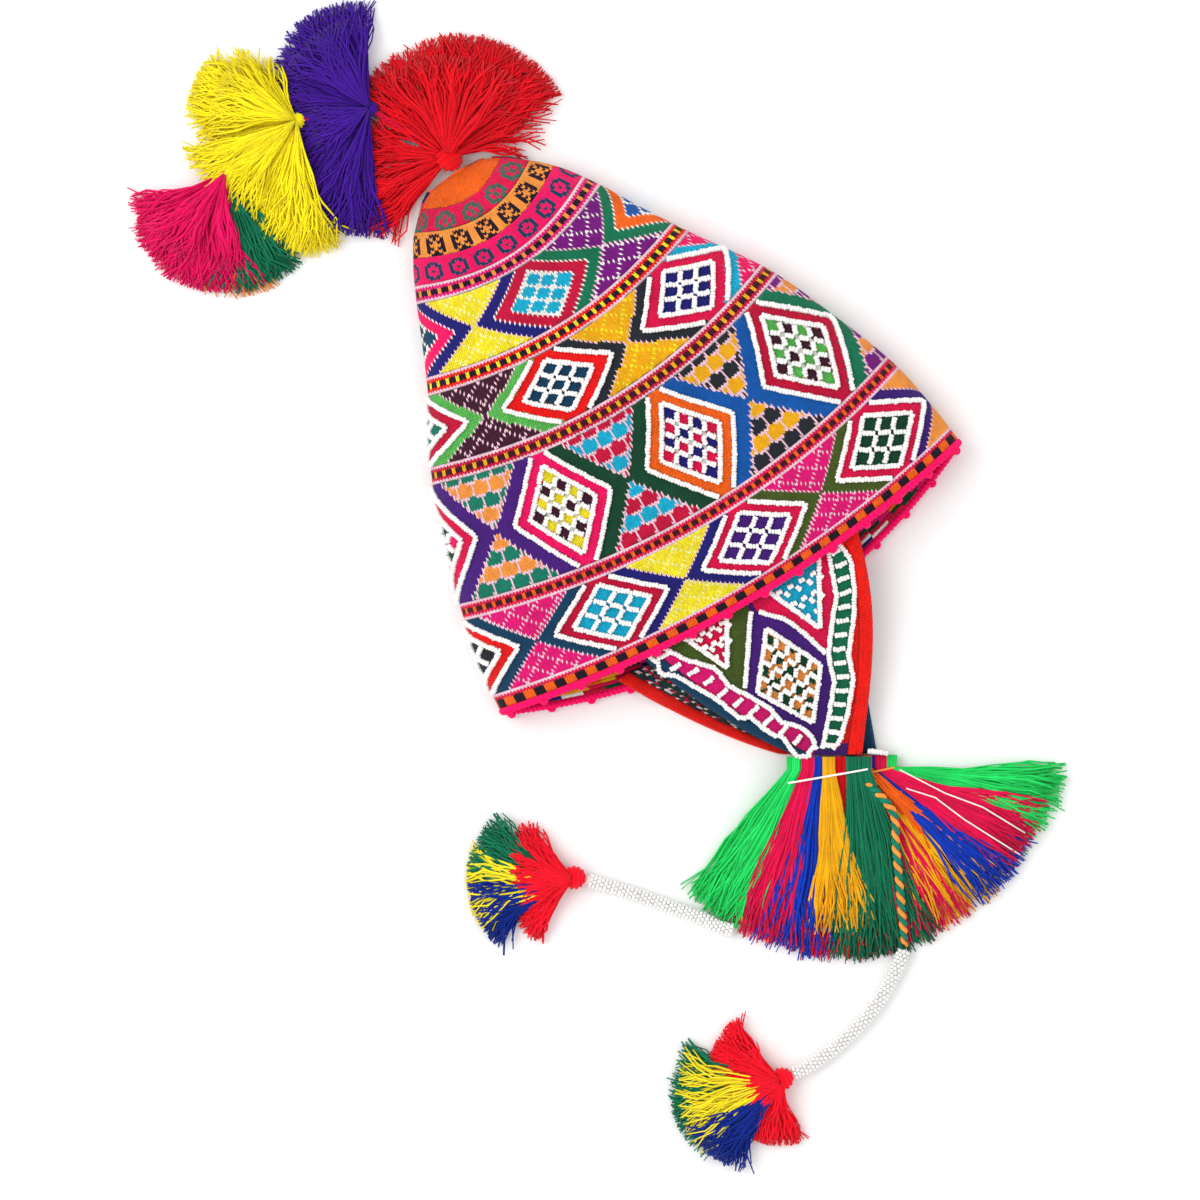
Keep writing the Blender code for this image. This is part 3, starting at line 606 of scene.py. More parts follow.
def rim_stitch(column, row, leg):
    """Three rows of bars, then one plain row and one pale one."""
    if row < 3:
        return "black" if (column // 3) % 2 else "orange"
    return "crimson" if row == 3 else "pale pink"


# Columns: first rise, rows, stitches round the cap, wool of a stitch.
KNITTED_BANDS = (
    (0.000, 5, 308, rim_stitch),
    LOZENGE_BANDS["lowest"].knitted(),
    (0.188, 6, 308, dashes("crimson", "orange", "maroon")),
    LOZENGE_BANDS["tall"].knitted(),
    (0.4705, 6, 240, dashes("dark crimson", "golden", "maroon")),
    LOZENGE_BANDS["middle"].knitted(),
    (0.6352, 6, 192, dashes("red", "yellow", "black")),
    LOZENGE_BANDS["upper"].knitted(),
    (0.8105, 6, 135, dashes("magenta", "light orange", "black")),
    (0.8455, 10, 126, motif(ROSETTE, "hot pink", "dark teal", 10)),
    (0.8955, 8, 105, motif(FLOWER, "light orange", "black", 8)),
    (0.9360, 7, 77, motif(BUD, "crimson", "grey green", 7)),
    (0.9710, 9, 56, lambda column, row, leg: "orange"),
)
KNIT_END = 0.9985
# How far the two legs of a stitch reach past its row, as a share of the row.
STITCH_TOOTH = 0.34
# Share of a panel's thickness that its edge has, and that each half stitch inwards adds.
PANEL_EDGE = 0.35
# Where a face that isn't a stitch lies in the stitch map, and how many stitches the map holds.
PLAIN_PLACE = (0.25, 0.5)
MAP_STITCHES = 400.0
INNER_SIDES = 154
INNER_RISES = (*np.linspace(0.0, 0.24, 34), *np.linspace(0.27, 0.93, 22), 0.96, 0.98, 0.99)
# The wools of the strands that are carried behind the stitches.
FLOATS = ("crimson", "magenta", "white", "golden", "dark green", "navy", "orange", "dark crimson")
spinning = np.random.default_rng(7)


def spun(wool_name):
    """A wool as one stitch shows it, a little lighter or darker than its neighbours."""
    tint = spinning.uniform(0.88, 1.10)
    return tuple(part * tint for part in WOOLS[wool_name])


def knit_cap():
    """Rings of half stitches, band by band, then the inside back down to the mouth, closed."""
    points, corners, starts, colours, stitches = [], [], [], [], []
    count = 0
    ends = [band[0] for band in KNITTED_BANDS[1:]] + [KNIT_END]
    last = None

    def add_face(face, wool_name, places):
        starts.append(len(corners))
        corners.extend(face)
        colours.extend([spun(wool_name)] * len(face))
        stitches.extend(places)

    def zip_rings(lower, upper, wool_name):
        """Triangles between two rings of different counts."""
        i = j = 0
        m, n = len(lower), len(upper)
        while i < m or j < n:
            if j >= n or (i < m and (i + 1) / m <= (j + 1) / n):
                face = (lower[i % m], lower[(i + 1) % m], upper[j % n])
                i += 1
            else:
                face = (lower[i % m], upper[(j + 1) % n], upper[j % n])
                j += 1
            add_face(face, wool_name, [PLAIN_PLACE] * 3)

    for (start, rows, across, chart), end in zip(KNITTED_BANDS, ends):
        half = np.arange(2 * across)
        rings = []
        for line in range(rows + 1):
            share = (end - start) / rows
            tooth = STITCH_TOOTH if 0 < line < rows else 0.0
            rise = start + share * (line + np.where(half % 2, -tooth, tooth))
            points.append(on_cap(rise, half / (2 * across))[0])
            rings.append(list(range(count, count + 2 * across)))
            count += 2 * across
        if last is not None:
            zip_rings(last, rings[0], chart(0, 0, 0))
        for line in range(rows):
            low, high = rings[line], rings[line + 1]
            for k in range(2 * across):
                n = (k + 1) % (2 * across)
                u, v = k / 2, line
                places = ((u, v), (u + 0.5, v), (u + 0.5, v + 1), (u, v + 1))
                add_face((low[k], low[n], high[n], high[k]), chart(k // 2, line, k % 2), places)
        if start == 0.0:
            mouth = rings[0]
        last = rings[-1]
    points.append(on_cap(np.array([1.0]), np.array([0.25]))[0])
    for k in range(len(last)):
        add_face((last[k], last[(k + 1) % len(last)], count), "orange", [PLAIN_PLACE] * 3)
    count += 1
    around = np.arange(INNER_SIDES) / INNER_SIDES
    before = None
    for line, rise in enumerate(INNER_RISES):
        ring_points, out = on_cap(np.full(INNER_SIDES, rise), around)
        points.append(ring_points - out * KNIT_WALL)
        ring = list(range(count, count + INNER_SIDES))
        count += INNER_SIDES
        if before is None:
            zip_rings(ring, mouth, "orange")
        else:
            for k in range(INNER_SIDES):
                n = (k + 1) % INNER_SIDES
                shade = FLOATS[(k // (2 + line % 3) * 3 + line * 5) % len(FLOATS)]
                places = ((k * 2, line), (k * 2, line + 1), (k * 2 + 2, line + 1), (k * 2 + 2, line))
                add_face((before[k], ring[k], ring[n], before[n]), shade, places)
        before = ring
    tip, out = on_cap(np.array([1.0]), np.array([0.25]))
    points.append(tip - out * KNIT_WALL * 2)
    for k in range(INNER_SIDES):
        face = (before[(k + 1) % INNER_SIDES], before[k], count)
        add_face(face, "orange", [PLAIN_PLACE] * 3)
    return np.concatenate(points), np.array(corners), np.array(starts), colours, np.array(stitches)


def knit_finish(name):
    """Stocking stitch: each leg is a rounded loop of plied wool, read from the stitch map.

    The wool's colour carries painted shade between the legs and a painted highlight on their crests.
    """
    finish = yarn_finish(name, fineness=2200.0, variation=0.45, relief=0.0004, sheen=0.08)
    tree = finish.node_tree
    fibre = next(node for node in tree.nodes if node.type == "GROUP")
    stitch_map = add_node(tree, "ShaderNodeUVMap", uv_map="stitches")
    parted = add_node(tree, "ShaderNodeSeparateXYZ")
    loop = add_node(tree, "ShaderNodeMath", operation="MULTIPLY")
    wire(tree, (stitch_map, "UV", parted, "Vector"))
    for number, (axis, turns) in enumerate((("X", 2 * math.pi), ("Y", math.pi))):
        turned = add_node(tree, "ShaderNodeMath", {1: MAP_STITCHES * turns}, operation="MULTIPLY")
        wave = add_node(tree, "ShaderNodeMath", operation="SINE")
        rounded = add_node(tree, "ShaderNodeMath", operation="ABSOLUTE")
        wire(
            tree, (parted, axis, turned, 0), (turned, 0, wave, 0), (wave, 0, rounded, 0),
            (rounded, 0, loop, number),
        )
    fullness = add_node(tree, "ShaderNodeMath", {1: 0.6}, operation="POWER")
    legs = add_node(tree, "ShaderNodeBump", {"Strength": 0.85, "Distance": 0.0008})
    # Painted shade and highlight: the wool's colour is darkened between the legs of each stitch and
    # lightened on their crests.
    shaded = add_node(tree, "ShaderNodeMapRange", {"To Min": 0.84, "To Max": 1.28})
    painted_stitch_shading = add_node(tree, "ShaderNodeVectorMath", operation="SCALE")
    wire(
        tree, (loop, 0, fullness, 0), (fullness, 0, legs, "Height"),
        (legs, "Normal", tree.nodes["Bump"], "Normal"), (fullness, 0, shaded, "Value"),
        (fibre, "Colour", painted_stitch_shading, 0), (shaded, "Result", painted_stitch_shading, "Scale"),
        (painted_stitch_shading, "Vector", tree.nodes["Principled BSDF"], "Base Color"),
    )
    return finish


def knitted_piece(name, knitting, finish, slot):
    """A piece with the wool and the place in the stitch map of each corner of its faces."""
    points, corners, starts, colours, places = knitting
    piece = new_piece(name, points, corners, starts, finish, slot)
    dye(piece, colours, "CORNER")
    layer = piece.data.uv_layers.new(name="stitches")
    layer.data.foreach_set("uv", (places / MAP_STITCHES).astype(np.float32).ravel())
    return piece


cap = knitted_piece("cap_knit", knit_cap(), knit_finish("cap_knit_wool"), "crown_knit")
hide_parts("crown")

# Seed beads on the cap: opaque white glass, threaded and sewn down in rows along each lozenge's
# ring, with short bars of three or four across its field.
BEAD_ACROSS = 0.00148
BEAD_ALONG = 0.00086
BEAD_PITCH = 0.00152
BEAD_LIFT = 0.0008
# Distance along a line, to either side, over which a bead's own direction is read.
BEAD_AIM = 0.0004


def seed_bead():
    """A barrel of radius 1 along Z from -1 to 1."""
    bpy.ops.mesh.primitive_uv_sphere_add(segments=6, ring_count=4, radius=1.0, location=(0, 0, 0))
    bead = bpy.context.object
    bpy.ops.object.mode_set(mode="EDIT")
    bpy.ops.mesh.select_all(action="DESELECT")
    bpy.ops.object.mode_set(mode="OBJECT")
    for vertex in bead.data.vertices:
        vertex.select = 0.3 < abs(vertex.co.z) < 0.9
    bpy.ops.object.mode_set(mode="EDIT")
    bpy.ops.mesh.select_mode(type="VERT")
    bpy.ops.transform.resize(value=(1.22, 1.22, 1.12))
    bpy.ops.object.mode_set(mode="OBJECT")
    return small_shape(bead)


def bead_finish(name):
    """Milky glass, slightly warmer in some beads than in others, with a clear bright surface."""
    finish, tree, shader = new_finish(
        name, {"Roughness": 0.28, "Coat Weight": 0.3, "Coat Roughness": 0.12}
    )
    batch = add_node(tree, "ShaderNodeTexNoise", {"Scale": 420.0})
    milk = tone_ramp(tree, (0.35, (0.88, 0.86, 0.83)), (0.6, (0.98, 0.975, 0.96)))
    place = add_node(tree, "ShaderNodeTexCoord")
    wire(
        tree, (place, "Object", batch, "Vector"), (batch, "Fac", milk, "Fac"),
        (milk, "Color", shader, "Base Color"),
    )
    return finish


BEAD = seed_bead()
GLASS = bead_finish("milk_glass")
chance = np.random.default_rng(11)


class BeadWork:
    """Beads sewn along lines on a surface, gathered into one mesh."""

    def __init__(self):
        self.places = []

    def sew(self, line, out, most=None):
        """Beads at even steps along a line of points whose surface faces out."""
        marks = travelled(line)
        length = marks[-1]
        count = max(1, int(round(length / BEAD_PITCH)))
        if most is not None:
            count = min(count, most)
        at = length / 2 + (np.arange(count) - (count - 1) / 2) * min(BEAD_PITCH, length / count)
        centre, normal = read_at(at, marks, line), unit(read_at(at, marks, out))
        along = read_at(at + BEAD_AIM, marks, line) - read_at(at - BEAD_AIM, marks, line)
        along += chance.normal(0.0, 0.09, along.shape) * np.linalg.norm(along, axis=1, keepdims=True)
        along = unit(along)
        beside = unit(np.cross(normal, along))
        centre = centre + beside * chance.normal(0.0, 0.00013, (count, 1))
        centre = centre + normal * (BEAD_LIFT + chance.normal(0.0, 0.00006, (count, 1)))
        size = 1.0 + chance.normal(0.0, 0.05, (count, 1, 1))
        axes = (BEAD_ACROSS * beside, BEAD_ACROSS * np.cross(along, beside), BEAD_ALONG * along)
        self.places.append(centre[:, None] + size * (BEAD[0] @ np.stack(axes, axis=1)))

    def finished(self, name, slot):
        """The piece of all the beads that were sewn."""
        return new_piece(name, *copies(BEAD, np.concatenate(self.places)), GLASS, slot)


def sew_lozenge(work, band, number):
    """The two rings of beads of one lozenge and the bars across its field."""
    half = band.width / 2
    top = band.rows / 2 - 0.4

    def sewn(corners, most=None):
        corners = np.array(corners)
        marks = travelled(corners)
        aside, up = read_at(np.linspace(0.0, 1.0, 40), marks / marks[-1], corners).T
        rise = band.start + (up + band.rows / 2) / band.rows * (band.end - band.start)
        work.sew(*on_cap(rise, (number + aside / band.width) / band.repeats), most)

    inset = band.arm + band.line / 2
    for depth in (inset, inset + band.ring + band.line):
        reach = half - depth
        end = min(top, reach / band.spread)
        left_over = max(0.0, reach - band.spread * end)
        for side in (-1, 1):
            sewn(((side * left_over, end), (side * reach, 0.0), (side * left_over, -end)))
    field = half - inset - band.ring - 1.5 * band.line
    for line in range(1, band.cells):
        for cell in range(band.cells):
            for turned in (False, True):
                first = (2 * line / band.cells - 1) * field
                ends = [(2 * (cell + share) / band.cells - 1) * field for share in (0.1, 0.9)]
                corners = []
                for second in ends:
                    one, two = (second, first) if turned else (first, second)
                    corners.append(((one + two) / 2, (one - two) / (2 * band.spread)))
                sewn(corners, most=4 if band.cells == 3 else 3)


cap_beads = BeadWork()
for band in LOZENGE_BANDS.values():
    if band.beaded:
        for number in range(band.repeats):
            sew_lozenge(cap_beads, band, number)
cap_beads.finished("cap_beads", "seed_beads")

# Rim edging: a round of crochet in hot pink wool worked into the mouth's last row, made of two
# twisted plies, with a picot about every two centimetres.
EDGING_PLY = 0.00130
EDGING_REACH = 0.00090
EDGING_TURNS = 118.0
EDGING_STEPS = 680
EDGING_DROP = 0.0018
EDGING_LOWEST = 0.0029
PICOT_DROP = 0.0014
PICOTS = 28
rim_points, rim_out = on_cap(
    np.zeros(EDGING_STEPS), np.linspace(0.0, 1.0, EDGING_STEPS, endpoint=False)
)
rim_path = rim_points - rim_out * KNIT_WALL / 2
rim_along = unit(np.roll(rim_path, -1, axis=0) - np.roll(rim_path, 1, axis=0))
rim_off = unit(np.array((0.0, -1.0, 0.0)) - rim_along * -rim_along[:, [1]])
rim_path = rim_path + rim_off * EDGING_DROP
rim_path[:, 2] = np.maximum(rim_path[:, 2], EDGING_LOWEST)
rim_path, rim_off, rim_along = (np.vstack((line, line[:1])) for line in (rim_path, rim_off, rim_along))
rim_side = np.cross(rim_along, rim_off)
turns = 2 * math.pi * np.linspace(0.0, EDGING_TURNS, EDGING_STEPS + 1)
plies = plies_round(rim_path, rim_off, rim_side, turns, EDGING_REACH)
bpy.ops.mesh.primitive_torus_add(
    major_radius=0.0012, minor_radius=0.0011, major_segments=12, minor_segments=6, location=(0, 0, 0)
)
picot = small_shape(bpy.context.object)
picot_places = []
for number in range(PICOTS):
    at = int((number + 0.5) * EDGING_STEPS / PICOTS)
    turned = picot[0] @ np.stack((unit(rim_path[at + 1] - rim_path[at]), rim_off[at], rim_side[at]))
    picot_places.append(rim_path[at] + rim_off[at] * PICOT_DROP + turned)
edging = new_piece(
    "rim_crochet", *joined((yarns_along(6, plies, EDGING_PLY), copies(picot, picot_places))),
    yarn_finish("edging_wool", fineness=1600.0, variation=0.45), "edging_yarn",
)
dye(edging, WOOLS["hot pink"])
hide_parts("rim_edging")

# Ear flaps: two knitted triangles picked up from the mouth, each with a red and a teal border
# knitted along its sides. The near one shows its outside and the far one its floats.
FLAP_WIDTH = 0.111
FLAP_LENGTH = 0.084
FLAP_TUCK = 0.005
BAND_WIDTHS = {"red": 0.0076, "blue": 0.0066}
HEAD_THICKNESS = 0.0066
# Columns: root, lean, reach, left belly, right belly, width of the tip.
FLAP_SHAPES = {
    "near": (0.020, -0.065, 1.03, 0.030, 0.080, 0.017),
    "far": (-0.080, 0.040, 0.84, 0.020, 0.000, 0.033),
}
FLAP_TURN = math.radians(-32.0)
# The near flap starts this far under the cap's top and comes to rest on the flap tassels' heads.
NEAR_FLAP_SUNK = 0.0067
NEAR_FLAP_REST = 1.5 * HEAD_THICKNESS + 0.0006
# The far flap drops from its top to the floor over a share of its length, after a flat start.
FAR_FLAP_TOP = 0.0077
FAR_FLAP_REST = 0.0020
FAR_FLAP_BEND = 0.14
FAR_FLAP_DROP = 0.2
FLAP_GAP = 0.0001
FLAP_STITCHES = 60
FLAP_KNIT_ROWS = 62
FLAP_KNIT = 0.0024
BORDER_STITCHES = 4
BORDER_KNIT = 0.0032


def rim_place(x, near):
    """Share across the mouth from -1 to 1, and how far along Y the mouth's edge is there."""
    across = np.clip(x / (RIM_WIDTH / 2), -1.0, 1.0)
    bow = NEAR_BOW if near else FAR_BOW
    return across, -RIM_TILT * across * CROWN_LENGTH - bow * RIM_WIDTH * (1.0 - across**2)


def eased(share):
    """A share from 0 to 1, slower at both ends."""
    share = np.clip(share, 0.0, 1.0)
    return share * share * (3.0 - 2.0 * share)


def flap_points(side_name, across, offset, share):
    """Points of the middle of a flap's cloth: across and share run from 0 to 1."""
    near = side_name == "near"
    root, lean, reach, left_belly, right_belly, tip_width = FLAP_SHAPES[side_name]
    half = RIM_WIDTH / 2
    edges = []
    for side, belly in ((-1, left_belly), (1, right_belly)):
        top_x = root * half + side * FLAP_WIDTH / 2
        top_y = rim_place(top_x, near)[1] + FLAP_TUCK
        half_tip = side * tip_width / 2
        tip_x = (root + lean) * half + math.cos(FLAP_TURN) * half_tip
        tip_y = rim_place(0.0, near)[1] - FLAP_LENGTH * reach + math.sin(FLAP_TURN) * half_tip
        x = top_x + (tip_x - top_x) * share + side * belly * FLAP_WIDTH * np.sin(math.pi * share)
        edges.append((x, top_y + (tip_y - top_y) * share, top_x, top_y))
    (left_x, left_y, left_top, left_top_y), (right_x, right_y, right_top, right_top_y) = edges
    step_x, step_y = right_x - left_x, right_y - left_y
    placed = across + offset / np.hypot(step_x, step_y)
    x = left_x + step_x * placed
    y = left_y + step_y * placed
    root_x = left_top + (right_top - left_top) * across
    root_y = left_top_y + (right_top_y - left_top_y) * across
    y = y + (rim_place(root_x, near)[1] + FLAP_TUCK - root_y) * (1.0 - share)
    if near:
        crest = np.maximum(0.0, 1.0 - rim_place(x, near)[0] ** 2)
        level = FOLD_LEVEL + (1.0 - FOLD_LEVEL) * crest**NEAR_FULLNESS
        top, rest = RIM_DEPTH * CROWN_DEPTH * level - NEAR_FLAP_SUNK, NEAR_FLAP_REST
        settled = eased(share)
    else:
        top, rest = FAR_FLAP_TOP, FAR_FLAP_REST
        settled = eased((share - FAR_FLAP_BEND) / FAR_FLAP_DROP)
    return np.stack((x, y, top + (rest - top) * settled), axis=-1)


def knit_panel(place, stitches, rows, thickness, wool_of):
    """A closed knitted strip.

    place gives points by share across and share along, and wool_of the wool of a face by its
    middle point, its column, its row and whether it is on top.
    """
    half = np.arange(2 * stitches + 1)
    across = half / (2 * stitches)
    lines = np.arange(rows + 1)
    tooth = np.where(half % 2, -STITCH_TOOTH, STITCH_TOOTH)
    share = (lines[:, None] + tooth[None, :]) / rows
    share[0] = 0.0
    share[-1] = 1.0
    middle = place(np.broadcast_to(across, share.shape), share)
    out = np.cross(np.gradient(middle, axis=0), np.gradient(middle, axis=1))
    out = unit(out * np.sign(out[..., [2]]))
    full = thickness / 2 * np.minimum(1.0, PANEL_EDGE * (1 + np.minimum(half, half[::-1])))[:, None]
    rings = np.concatenate((middle + out * full, (middle - out * full)[:, ::-1]), axis=1)
    size = rings.shape[1]
    corners, colours, places = [], [], []
    for row in range(rows):
        for k in range(size):
            n = (k + 1) % size
            on_top = k < size // 2
            leg = k if on_top else size - 1 - k
            face = [row * size + k, row * size + n, (row + 1) * size + n, (row + 1) * size + k]
            corners.extend(face[::-1])
            centre = (rings[row, k] + rings[row + 1, n]) / 2
            colours.extend([spun(wool_of(centre, leg // 2, row, on_top))] * 4)
            u, v = leg / 2, rows - row
            places.extend(((u, v - 1), (u + 0.5, v - 1), (u + 0.5, v), (u, v)))
    for row in (0, rows):
        for k in range(size // 2 - 1):
            face = [row * size + i for i in (k, k + 1, size - 2 - k, size - 1 - k)]
            corners.extend(face[::-1] if row else face)
            colours.extend([spun(wool_of(rings[row, k], k // 2, row, True))] * 4)
            places.extend([PLAIN_PLACE] * 4)
    starts = np.arange(0, len(corners), 4)
    return rings.reshape(-1, 3), np.array(corners), starts, colours, np.array(places)


def inside_outline(x, y, outline):
    """Whether a point, in millimetres, is within an outline."""
    found = False
    for (x1, y1), (x2, y2) in zip(outline, outline[1:] + outline[:1]):
        if (y1 > y) != (y2 > y) and x < (x2 - x1) * (y - y1) / (y2 - y1) + x1:
            found = not found
    return found


# The near flap's chart, in millimetres from the origin: the seams between its coloured fields.
LEFT_BORDER_OUT = [
    (-55, -10), (-52, -18), (-54, -23), (-48, -28), (-40, -43), (-36, -52), (-33, -62), (-28, -64),
    (-26, -72), (-23, -78), (-20, -81), (-20, -88), (-19, -93), (-13, -96),
]
LEFT_BORDER_IN = [
    (-47, -12), (-39, -25), (-30, -35), (-29, -46), (-23, -56), (-18, -66), (-17, -74), (-10, -82),
    (-8, -89), (-9.5, -95),
]
RIGHT_BORDER_OUT = [
    (52, -14), (53, -26), (47, -39), (39, -51), (28, -64), (24, -75), (13.5, -87), (3, -97), (-3, -99),
]
RIGHT_BORDER_IN = [
    (47, -14), (38, -37), (29, -47), (19, -60), (15, -72), (8, -80), (-1, -90), (-7, -96),
]
LEFT_TRIANGLE = [(-37, -10), (-25, -38), (-9, -12)]
RIGHT_TRIANGLE = [(9, -12), (23, -46), (42, -14)]
CENTRE_LOZENGE = [(1, -32), (14, -61), (-4, -83), (-19, -56)]
OLIVE_SEAM = [(-1, -10), (-1, -21), (-12, -36), (-23, -51)]
CRIMSON_SEAM = [(1, -12), (2, -23), (11, -33), (15, -43), (19, -58)]
NEAR_CHART = (
    (LEFT_BORDER_OUT + LEFT_BORDER_IN[::-1], "magenta", None),
    (RIGHT_BORDER_OUT + RIGHT_BORDER_IN[::-1], "green", None),
    (LEFT_TRIANGLE, "crimson", None),
    (RIGHT_TRIANGLE, "cyan", None),
    (CENTRE_LOZENGE, "light orange", "dark green"),
    ([(-50, 0)] + LEFT_BORDER_IN[:5] + OLIVE_SEAM[::-1] + [(-1, 0)], "olive", None),
    (CRIMSON_SEAM + RIGHT_BORDER_IN[2::-1] + [(60, 0), (1, 0)], "crimson", None),
)
BEYOND_LEFT = [(-90, 10), (-47, -12)] + LEFT_BORDER_OUT[2:] + [(-13, -120), (-90, -120)]
BEYOND_RIGHT = RIGHT_BORDER_OUT + [(90, -110), (90, 10)]
CHECK_SIZE = 6.6
FAR_WOOLS = (
    "charcoal", "dark green", "charcoal", "crimson", "charcoal", "pale pink", "plum", "dark teal",
    "charcoal", "white", "dark green",
)


def near_flap_wool(centre, column, row, on_top):
    """The chart's wool on the near flap's outside, and the floats on its inside."""
    if not on_top:
        return FLOATS[(column * 3 + row * 5) % len(FLOATS)]
    x, y = centre[0] * 1000, centre[1] * 1000
    for outline, first, second in NEAR_CHART:
        if inside_outline(x, y, outline):
            one, two = (x * 0.75 - y * 0.66) / CHECK_SIZE, (x * 0.66 + y * 0.75) / CHECK_SIZE
            return second if second and (math.floor(one) + math.floor(two)) % 2 == 0 else first
    if x < -10 and inside_outline(x, y, BEYOND_LEFT):
        return "dark teal"
    if x > 0 and inside_outline(x, y, BEYOND_RIGHT):
        return "scarlet"
    return "violet"


def far_flap_wool(centre, column, row, on_top):
    """The floats in mixed wools on the far flap's inside, which lies on top."""
    picked = (column * 31 + row * 17 + (column * row) % 7) % len(FAR_WOOLS)
    return FAR_WOOLS[picked] if on_top else "violet"


def border_points(label, on_right, width):
    """Where the points of a border beside a flap are, by share across and share along."""

    def place(across, share):
        if on_right:
            return flap_points(label, 1.0, FLAP_GAP + width * across, share)
        return flap_points(label, 0.0, -FLAP_GAP - width * (1.0 - across), share)

    return place


flap_finish = knit_finish("flap_knit_wool")
FLAP_COLOURS = {"near": near_flap_wool, "far": far_flap_wool}
BORDER_WOOLS = {"red": "scarlet", "blue": "dark teal"}
for label, wool_of in FLAP_COLOURS.items():
    panel = knit_panel(
        lambda across, share: flap_points(label, across, 0.0, share), FLAP_STITCHES, FLAP_KNIT_ROWS,
        FLAP_KNIT, wool_of,
    )
    flap = knitted_piece(f"{label}_flap_knit", panel, flap_finish, "flap_knit")
    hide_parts(f"{label}_ear_flap")
    for border_name, wool_name in BORDER_WOOLS.items():
        on_right = (border_name == "red") == (label == "near")
        panel = knit_panel(
            border_points(label, on_right, BAND_WIDTHS[border_name]), BORDER_STITCHES, FLAP_KNIT_ROWS,
            BORDER_KNIT, lambda centre, column, row, on_top: wool_name,
        )
        border = knitted_piece(
            f"{label}_{border_name}_border", panel, flap_finish, f"{border_name}_band_yarn"
        )
        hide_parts(f"{label}_{border_name}_band")

# Seed beads on the near flap: the same white beads, sewn along the seams of its chart with bars
# across the borders, the triangles and the lozenge.
grid_across, grid_share = np.meshgrid(np.linspace(0, 1, 140), np.linspace(0, 1, 140))
FLAP_TOP = flap_points("near", grid_across, 0.0, grid_share).reshape(-1, 3)


def on_near_flap(line):
    """Points of the near flap's upper face under a line drawn in millimetres in plan."""
    plan = np.array(line) / 1000.0
    marks = travelled(plan)
    plan = read_at(np.linspace(0.0, marks[-1], max(3, int(marks[-1] / 0.001))), marks, plan)
    nearest = np.argmin(
        (plan[:, [0]] - FLAP_TOP[:, 0]) ** 2 + (plan[:, [1]] - FLAP_TOP[:, 1]) ** 2, axis=1
    )
    height = FLAP_TOP[nearest, 2] + FLAP_KNIT / 2
    height = np.convolve(np.pad(height, 2, mode="edge"), np.ones(5) / 5, mode="valid")
    return np.column_stack((plan, height)), np.tile((0.0, 0.0, 1.0), (len(plan), 1))


def between(start, end, share):
    """A point at a share of the way from one point to another."""
    return np.array(start) * (1.0 - share) + np.array(end) * share


flap_beads = BeadWork()
for line in (
    LEFT_BORDER_OUT, LEFT_BORDER_IN, RIGHT_BORDER_OUT, RIGHT_BORDER_IN, OLIVE_SEAM[1:],
    CRIMSON_SEAM[1:], LEFT_TRIANGLE + LEFT_TRIANGLE[:1], RIGHT_TRIANGLE + RIGHT_TRIANGLE[:1],
    CENTRE_LOZENGE + CENTRE_LOZENGE[:1],
):
    flap_beads.sew(*on_near_flap(line))

for outer, inner, bars in (
    (LEFT_BORDER_OUT, LEFT_BORDER_IN, 11), (RIGHT_BORDER_OUT, RIGHT_BORDER_IN, 15),
):
    for bar in range(bars):
        share = (bar + 0.7) / bars
        start, end = (
            read_at(share * travelled(line)[-1], travelled(line), line) for line in (outer, inner)
        )
        ends = between(start, end, 0.16), between(start, end, 0.84)
        flap_beads.sew(*on_near_flap(ends), most=4)

# Bars of up to three beads on the lines of the lattice in the lozenge.
lattice_a, lattice_b, lattice_c, lattice_d = CENTRE_LOZENGE
for along_b, lines, cells in ((True, 5, 4), (False, 4, 5)):
    for line in range(1, lines):
        for cell in range(cells):
            ends = []
            for share in ((cell + 0.1) / cells, (cell + 0.9) / cells):
                one, two = (line / lines, share) if along_b else (share, line / lines)
                ends.append(between(
                    between(lattice_a, lattice_b, one), between(lattice_d, lattice_c, one), two
                ))
            flap_beads.sew(*on_near_flap(ends), most=3)

# Bars of two beads in three rows across each triangle, with a foot under each in the upper two.
for left, bottom, right in (LEFT_TRIANGLE, RIGHT_TRIANGLE):
    for row in range(1, 4):
        start, end = between(left, bottom, row / 4), between(right, bottom, row / 4)
        bars = 5 - row
        for bar in range(bars):
            ends = between(start, end, (bar + 0.2) / bars), between(start, end, (bar + 0.75) / bars)
            flap_beads.sew(*on_near_flap(ends), most=2)
            if row < 3:
                foot = ends[1] + (np.array(bottom) - np.array(left)) * 0.16
                flap_beads.sew(*on_near_flap((ends[1], foot)), most=2)
flap_beads.finished("near_flap_beads", "seed_beads")

# Tip tassels: four bunches of cut wool along one string, each wound tight round its middle. The
# red one is sewn to the cap's tip by its knob, and the others hang beyond it.
STRAND_RADIUS = 0.00043
STRAND_TAPER = np.array((0.8, 1.0, 1.05, 1.1, 1.1, 1.05, 0.75))
STATIONS = len(STRAND_TAPER)
LOWEST_STRAND = STRAND_RADIUS + 0.0002
PILE_FOOT = STRAND_RADIUS + 0.0003
FULLNESS = 2.0
LOCKS = 14
HEAD_TURNS = 7
RIPPLE = 0.0004
strand = straight_yarn(3, STATIONS - 1)
tassel_finish = yarn_finish("tassel_wool", fineness=1900.0, variation=0.45, sheen=0.12)


